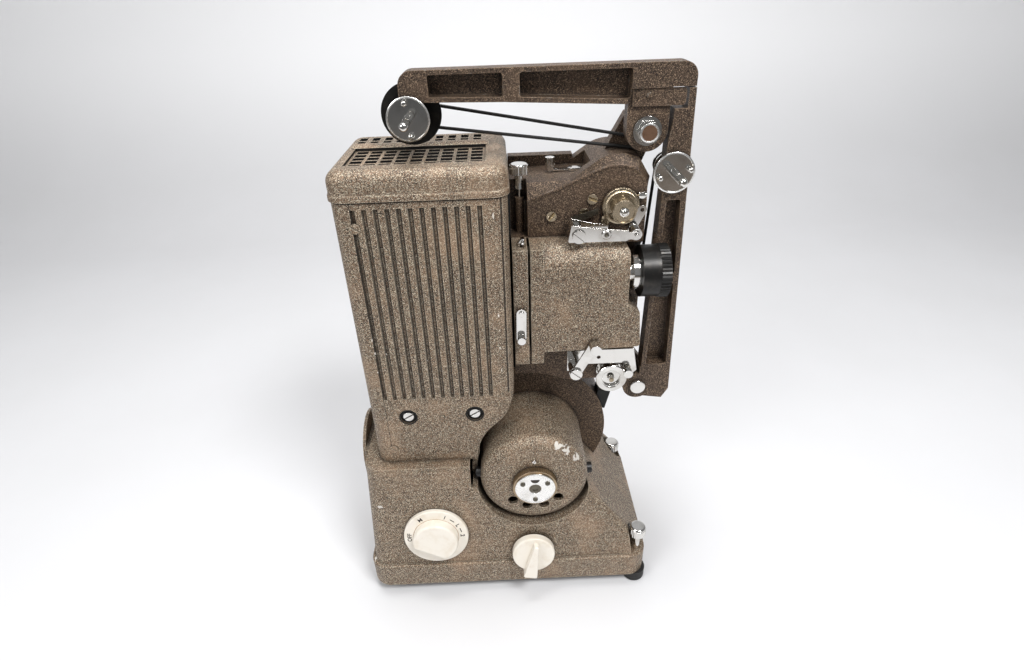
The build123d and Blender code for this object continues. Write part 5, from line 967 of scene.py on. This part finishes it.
# %% Reel discs and hexagon bolt
PLATE_STEEL = metal("PlateSteel", "#f0efec", "#d6d3cd", 0.22, 0.32, blotch_mm=12.0)
WORN_FACE = metal("WornFace", "#8d6f5b", "#6b5344", 0.4, 0.55, blotch_mm=3.0)
DISC_RIM = ((13.95, -0.6), (13.95, 0.0), (13.3, 0.4), (12.9, 0.4), (12.7, -0.1))
BOLT_RING = ((6.3, -0.3), (6.2, 0.1), (5.8, 0.35), (5.1, 0.35), (4.9, 0.0))
BOLT_MIDDLE = ((5.0, -0.1), (5.0, 0.12), (0.0, 0.12))
for name, x, z, body in (("FeedDiscRim", -51.1, 394.7, "feed_spindle_body"),
                         ("TakeUpDiscRim", 123.3, 354.0, "take_up_spindle_body")):
    turned_piece(name, [(facing(x, -12.5, z), DISC_RIM, 72)], body, "bright_chrome", PLATE_STEEL)
spot = facing(104.0, -13.6, 381.0)
turned_piece("BoltRing", [(spot, BOLT_RING, 60)], "root", "bright_chrome", PLATE_STEEL)
turned_piece("BoltMiddle", [(spot, BOLT_MIDDLE, 48)], "root", "bright_chrome", WORN_FACE)
print("disc rims are", 2 * DISC_RIM[0][0], "mm across")

# %% [markdown]
# ## Lens
# The front glass is a shallow dome in a black anodised ring. Real coated glass shows almost
# nothing but a dark sheen and one clear reflection. A transparent one would show the plain
# inside of the solid behind it, so the dome gets that sheen as a very smooth dark surface.

# %% Lens glass
COATED = metal("CoatedGlass", "#20242b", "#2b2a35", 0.03, 0.06, blotch_mm=20.0, metallic=0.5)
GLASS_R, GLASS_RISE = 11.4, 1.7
GLASS_RING = ((14.3, -0.4), (14.3, 0.9), (13.6, 1.5), (12.2, 1.2), (11.3, 0.5), (11.2, -0.3))
dome = [(GLASS_R * math.cos(math.radians(a)), GLASS_RISE * math.sin(math.radians(a)))
        for a in range(0, 90, 10)]
spot = facing(119.6, -19.0, 285.5, RIGHT, BACK)
turned_piece("FrontGlass", [(spot, dome + [(0.0, GLASS_RISE)], 56)], "barrel_body", "clear_glass", COATED)
turned_piece("GlassRing", [(spot, GLASS_RING, 64)], "barrel_body", "black_anodised")
print("front glass is", 2 * GLASS_R, "mm across")

# %% [markdown]
# ## Rubber stop and gate clip
# A block of black rubber sits a little askew under the casting, and a bent bright strip with a
# pin clips the top of the gate. Both have one outline all the way through, so both are
# outlines made thick.

# %% Rubber stop and gate clip
STOP_OUTLINE = ((-6.5, -9.5), (5.0, -9.5), (5.0, 10.5), (-6.5, 10.5))
STOP_ASKEW = math.radians(-13.0)
CLIP_OUTLINE = ((16.0, 311.0), (16.0, 313.4), (18.6, 316.6), (20.6, 316.6), (20.6, 315.4), (19.2, 315.2),
                (17.4, 312.8), (17.4, 311.0))
CLIP_PIN = ((1.3, -3.0), (1.3, 6.5), (0.9, 7.0), (0.0, 7.0))
stop = bmesh.new()
plate(stop, facing(88.0, 8.0, 148.0) @ Matrix.Rotation(STOP_ASKEW, 4, "Z"), STOP_OUTLINE, -12.0, 0.0, 0.6)
keep("RubberStop", stop, "root", "black_rubber")
clip = bmesh.new()
plate(clip, facing(0, -27.0, 0), CLIP_OUTLINE, -4.0, 0.0, 0.2)
turned(clip, facing(19.4, -22.0, 314.0), CLIP_PIN, 20)
keep("GateClip", clip, "root", "bright_chrome")
print("stop and clip ready")

# %% [markdown]
# ## The inching knob's plate
# A turn of this knob moves the film by hand. Its face is a bright turned plate with three dark
# domed screws, a dark shaft end and a half moon window, whose shade is painted as a thin black
# piece. They ride on the motor's shaft, so they show that it turns.

# %% The inching knob's plate
KNOB_X, KNOB_Z = 23.8, 119.0
KNOB_PLATE = ((16.1, -0.5), (16.1, 0.25), (15.6, 0.6), (14.9, 0.6), (14.6, 0.3), (5.0, 0.3), (4.6, -0.2))
KNOB_SCREW = ((2.1, 0.0), (2.0, 0.7), (1.2, 1.2), (0.0, 1.35))
SHAFT_END = ((4.5, -0.4), (4.5, 0.5), (3.9, 0.7), (2.2, 0.7), (1.9, -0.1), (0.0, -0.1))
SCREW_CIRCLE = 11.4
WINDOW_R, WINDOW_RISE = 3.6, 10.0
face = facing(KNOB_X, -66.5, KNOB_Z)
turned_piece("KnobPlate", [(face, KNOB_PLATE, 72)], "rotor", "bright_chrome", PLATE_STEEL)
parts = []
for turn in (30.0, 150.0, 270.0):
    x = KNOB_X + SCREW_CIRCLE * math.cos(math.radians(turn))
    z = KNOB_Z + SCREW_CIRCLE * math.sin(math.radians(turn))
    parts.append((facing(x, -66.8, z), KNOB_SCREW, 24))
turned_piece("KnobScrews", parts + [(face, SHAFT_END, 40)], "rotor", "black_moulding", DARK_STEEL)
# The window is painted shade: a thin black piece where the opening is.
window = bmesh.new()
half_moon = [(KNOB_X + WINDOW_R * math.cos(a), KNOB_Z + WINDOW_RISE + WINDOW_R * math.sin(a))
             for a in (math.pi * (1 + i / 14) for i in range(15))]
plate(window, facing(0, -66.5, 0), half_moon, 0.2, 0.36, 0.0)
keep("KnobWindow", window, "rotor", "black_moulding", INK_AND_WINDOW_SHADE)
print("knob plate is", 2 * KNOB_PLATE[0][0], "mm across")

# %% [markdown]
# ## Wells, seam and rivet of the lamp house
# Two slotted adjusters centre the lamp, each in a well whose shade is painted as dark rings.
# Beside the flutes an upright seam shows where the cover meets the house, and a rivet sits in a
# dark ring mark between the adjusters. Gaps this narrow are only seen as dark lines, so they are
# thin dark pieces on the face and not cuts.

# %% Wells, seam and rivet
# One dark material serves for painted shade, in the wells and round the lamp house, and for the real dark
# seam and ring mark.
SHADE_AND_SEAM = moulded("DarkShadeAndSeam", "#0b0a09", "#14110f", 0.8, grain_mm=0.5, depth_mm=0.01, coat=0.0, dust=0.2)
WELL_PLACES = ((-72.7, 180.7), (-21.1, 181.4))
WELL_FLOOR = ((4.15, 0.02), (4.15, 0.25), (6.3, 0.25), (6.3, 0.02))
WELL_RIM = ((6.2, -0.1), (6.2, 0.03), (7.2, 0.03), (7.2, -0.1), (6.2, -0.1))
SEAM_OUTLINE = ((-89.7, 137.5), (-89.3, 137.5), (-89.3, 352.0), (-89.7, 352.0))
RIVET = ((1.9, 0.0), (1.8, 0.25), (1.1, 0.55), (0.0, 0.65))
parts = []
# The well rings are painted shade.
for x, z in WELL_PLACES:
    parts += [(facing(x, LAMP_FACE + 2.0, z), WELL_FLOOR, 40), (facing(x, LAMP_FACE, z), WELL_RIM, 48)]
turned_piece("AdjusterWells", parts, "root", "black_plate", SHADE_AND_SEAM)
rivet_spot = facing(-46.5, LAMP_FACE, 179.3)
ring_mark = [(2.3 * math.cos(a / 3), 2.3 * math.sin(a / 3)) for a in range(19)]
seams = bmesh.new()
plate(seams, facing(0, LAMP_FACE, 0), SEAM_OUTLINE, -0.1, 0.02, 0.0)
plate(seams, rivet_spot, ring_mark, -0.1, 0.02, 0.0)
keep("CoverSeam", seams, "root", "black_plate", SHADE_AND_SEAM)
turned_piece("CoverRivet", [(rivet_spot, RIVET, 28)], "root", "hammer_paint")
print("wells", len(WELL_PLACES))

# %% [markdown]
# ## Shadows of the lamp house
# A shadow runs under the cap, the grille looks into a shaded inside, and the house and the
# casting all but touch, with shade between them. Light would come through these places from
# behind. A dark band is painted shadow under the cap, and black sheets under the grille and in
# the gap are painted shade that also stop that light.

# %% Shadows of the lamp house
CAP_CORNERS = ((0.2, 44.0), (-92.5, 44.0), (-92.5, -36.0), (0.2, -36.0))
CAP_ROUND, LIP_SHADOW_LOW, LIP_SHADOW_HIGH = 10.04, 351.9, 352.95
CORNER_STEPS = 8
SHADE_SHEET_OUTLINE = ((-98.0, -41.0), (6.0, -41.0), (6.0, 49.0), (-98.0, 49.0))
GAP_SHADE_OUTLINE = ((10.25, 196.0), (11.95, 196.0), (11.95, 345.0), (10.25, 345.0))
# A dark band painted as the shadow under the cap's lip.
gap = bmesh.new()
low, high = [], []
for corner, (cx, cy) in enumerate(CAP_CORNERS):
    for step in range(CORNER_STEPS + 1):
        turn = math.radians(90.0 * corner + 90.0 * step / CORNER_STEPS)
        px, py = cx + CAP_ROUND * math.cos(turn), cy + CAP_ROUND * math.sin(turn)
        low.append(gap.verts.new(at(px, py, LIP_SHADOW_LOW)))
        high.append(gap.verts.new(at(px, py, LIP_SHADOW_HIGH)))
for step in range(len(low)):
    after = (step + 1) % len(low)
    gap.faces.new((low[step], low[after], high[after], high[step]))
keep("CapLipShadow", gap, "root", "black_plate", SHADE_AND_SEAM)
# A black sheet painted as the shade inside the grille.
sheet = bmesh.new()
plate(sheet, facing(0, 0, 0, UP), SHADE_SHEET_OUTLINE, 364.5, 365.0, 0.0)
keep("CapShadeSheet", sheet, "root", "black_plate", SHADE_AND_SEAM)
# A black sheet painted as the shade in the gap between the house and the casting.
gap_shade = bmesh.new()
plate(gap_shade, facing(0, -6.0, 0), GAP_SHADE_OUTLINE, -36.0, 0.0, 0.1)
keep("GapShadeSheet", gap_shade, "root", "black_plate", SHADE_AND_SEAM)
print("band of", 4 * (CORNER_STEPS + 1), "steps round the house")

# %% [markdown]
# ## Chips along the cover
# Knocks have chipped the cover's edges to a pale primer. Noise would put chips anywhere, while
# these are where hands and tools met the cover, so each has its place and size. Their outlines
# are jagged by a fixed rule, so that every run gives the same ones.

# %% Chips along the cover
PRIMER = moulded("BarePrimer", "#e9e4da", "#c9c0b2", 0.6, grain_mm=0.3, depth_mm=0.01)
CHIPS = ((0.4, 341.0, 1.4, 9.0), (0.9, 268.0, 1.3, 3.6), (1.0, 256.0, 1.0, 2.6), (0.9, 241.0, 1.1, 3.2),
         (1.2, 222.0, 1.2, 4.6), (-89.9, 252.0, 1.2, 3.0), (-89.4, 241.0, 1.5, 3.8),
         (-90.0, 224.0, 1.1, 2.4), (-81.5, 240.0, 0.8, 2.2), (-30.2, 229.0, 0.7, 1.6),
         (-52.4, 233.0, 0.6, 1.3), (-14.6, 232.0, 0.8, 2.0))
CHIP_CORNERS = 11


def chip_shape(cx, cz, width, height, seed):
    """A jagged flake outline, longer than it is wide."""
    made = []
    for step in range(CHIP_CORNERS):
        turn = 2 * math.pi * step / CHIP_CORNERS
        wobble = 0.62 + 0.38 * math.sin(3.7 * step + 1.9 * seed) * math.cos(2.3 * step + seed)
        made.append((cx + wobble * width / 2 * math.cos(turn), cz + wobble * height / 2 * math.sin(turn)))
    return made


chips = bmesh.new()
for seed, chip in enumerate(CHIPS):
    plate(chips, facing(0, LAMP_FACE, 0), chip_shape(*chip, seed), -0.05, 0.03, 0.02)
keep("CoverChips", chips, "root", "hammer_paint", PRIMER)
print("chips", len(CHIPS))

# %% [markdown]
# ## The sheet
# The projector stands on a pale sheet that runs up behind it in one bend, as in a product
# picture, so no corner shows. It is matt paper, which keeps a soft shadow. Up the wall it is
# painted paler, as painted light for the upright part, which the lamps light less. In front, out
# of the portrait's sight, it is shaded: the polished metal mirrors it, and would look like white
# paint without something darker.

# %% The paper of the sheet
def pale_sheet():
    """Matt paper, cloudy, painted paler up the wall as painted light, and shaded in front."""
    material, tree, shader, coords = start_material("PaleSheet")
    soft = add(tree, NOISE, {"Vector": coords, "Scale": scale_of(180.0), **CLOUDY}, 0)
    parts = add(tree, SPLIT, {0: coords}).outputs
    paper = add(tree, MIX, {0: soft, 6: "#d6d6d7", 7: "#dddddf"}, 2, **COLOUR)
    # Painted light: the upright part is painted paler.
    upright = add(tree, RAMP, {0: parts["Z"], 1: 0.02, 2: 0.35}, 0, **SMOOTH)
    paper = add(tree, MIX, {0: upright, 6: paper, 7: "#f4f4f5"}, 2, **COLOUR)
    nearer = add(tree, RAMP, {0: parts["Y"], 1: -2.4, 2: -1.0}, 0, **SMOOTH)
    shaded = add(tree, MIX, {0: nearer, 6: "#858687", 7: "#71675d"}, 2, **COLOUR)
    behind = add(tree, RAMP, {0: parts["Y"], 1: -0.98, 2: -0.72}, 0, **SMOOTH)
    sheet = add(tree, MIX, {0: behind, 6: shaded, 7: paper}, 2, **COLOUR)
    fill(tree, shader, {"Base Color": sheet, "Roughness": 0.55})
    return material


PAPER = pale_sheet()
print("sheet is of", PAPER.name)

# %% [markdown]
# ## The shape of the sheet
# Seen from the side, the sheet is flat, then a quarter round, then upright. It lies a hair
# below the feet, so the two don't fight for the same place, and it is marked as the stage, so
# it is no piece of the part.

# %% The shape of the sheet
SHEET_HALF, SHEET_FRONT, SHEET_BACK = 6.0, -6.0, 1.25
BEND_R = 0.5
SHEET_DROP = 0.0002
bend = [math.radians(90.0 * step / 20) for step in range(21)]
rows = [(SHEET_FRONT, 0.0), (-0.5, 0.0)]
rows += [(SHEET_BACK - BEND_R + BEND_R * math.sin(a), BEND_R - BEND_R * math.cos(a)) for a in bend]
rows += [(SHEET_BACK, 2.1), (SHEET_BACK, 3.7)]
corners = [(x, y, z - SHEET_DROP) for y, z in rows for x in (-SHEET_HALF, SHEET_HALF)]
mesh = bpy.data.meshes.new("Backdrop")
mesh.from_pydata(corners, [], [(2 * i, 2 * i + 1, 2 * i + 3, 2 * i + 2) for i in range(len(rows) - 1)])
for face in mesh.polygons:
    face.use_smooth = True
mesh.materials.append(PAPER)
backdrop = bpy.data.objects.new("Backdrop", mesh)
bpy.context.scene.collection.objects.link(backdrop)
backdrop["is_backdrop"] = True
print("sheet has", len(rows), "rows")

# %% [markdown]
# ## The light
# Three soft boxes and a pale world give the even light of a product picture: the strongest
# from the front right, a weaker one from the left to open the shadows, and one from above for
# the tops. A single hard lamp would be simpler, but it hides the islands of the enamel.

# %% The light
AIM = (0, 0, 0.2)
SOFT_BOXES = (("KeyLight", (0.55, -0.75, 1.45), 0.5, 0.4, 20.0),
              ("FillLight", (-0.9, -0.8, 1.1), 0.6, 0.6, 9.0),
              ("TopLight", (-0.1, 0.15, 1.6), 0.6, 0.5, 12.0))
for name, place, width, height, power in SOFT_BOXES:
    data = bpy.data.lights.new(name, "AREA")
    data.shape = "RECTANGLE"
    data.size = width
    data.size_y = height
    data.energy = power
    lamp = bpy.data.objects.new(name, data)
    bpy.context.scene.collection.objects.link(lamp)
    lamp.location = place
    lamp.rotation_euler = (Vector(AIM) - Vector(place)).to_track_quat("-Z", "Y").to_euler()
world = bpy.data.worlds.new("PaleWorld")
bpy.context.scene.world = world
world.use_nodes = True
world.node_tree.nodes["Background"].inputs[0].default_value = linear("#f4f5f7")
world.node_tree.nodes["Background"].inputs[1].default_value = 0.27
bpy.context.scene.view_settings.view_transform = "Standard"
print("soft boxes", len(SOFT_BOXES))

# %% [markdown]
# ## The camera
# The camera stands in front of the projector and above it, and leans a little to one side. A
# tracking constraint would point it, but it can't lean it, so its three axes are worked out
# from the three angles.

# %% Camera
CAMERA_PLACE = (-3.3, -395.0, 469.2)
CAMERA_DOWN = math.radians(31.063)
CAMERA_TURN = math.radians(0.644)
CAMERA_LEAN = math.radians(-2.019)
SENSOR_MM, LENS_MM = 36.0, 20.47


def photo_camera():
    """The camera of the portrait, from its place and its three angles."""
    ahead = Vector((math.sin(CAMERA_TURN) * math.cos(CAMERA_DOWN),
                    math.cos(CAMERA_TURN) * math.cos(CAMERA_DOWN), -math.sin(CAMERA_DOWN)))
    right = Vector((math.cos(CAMERA_TURN), -math.sin(CAMERA_TURN), 0.0))
    up = right.cross(ahead)
    lean_right = math.cos(CAMERA_LEAN) * right + math.sin(CAMERA_LEAN) * up
    lean_up = -math.sin(CAMERA_LEAN) * right + math.cos(CAMERA_LEAN) * up
    data = bpy.data.cameras.new("PhotoCamera")
    data.sensor_width = SENSOR_MM
    data.lens = LENS_MM
    data.clip_start = 0.01
    camera = bpy.data.objects.new("PhotoCamera", data)
    bpy.context.scene.collection.objects.link(camera)
    columns = Matrix((lean_right, lean_up, -ahead)).transposed().to_4x4()
    camera.matrix_world = Matrix.Translation(Vector(CAMERA_PLACE) * MM) @ columns
    bpy.context.scene.camera = camera
    return camera


print("camera at", [round(v, 3) for v in photo_camera().matrix_world.translation])

# %% [markdown]
# ## The size of the dressed model
# The box that the dressed model fills is printed. The dressed model has to stay in the box
# of the solids, because the part's size is theirs.

# %% Size of the dressed model
low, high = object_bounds()
print("visual box", [round(v, 4) for v in low], [round(v, 4) for v in high])
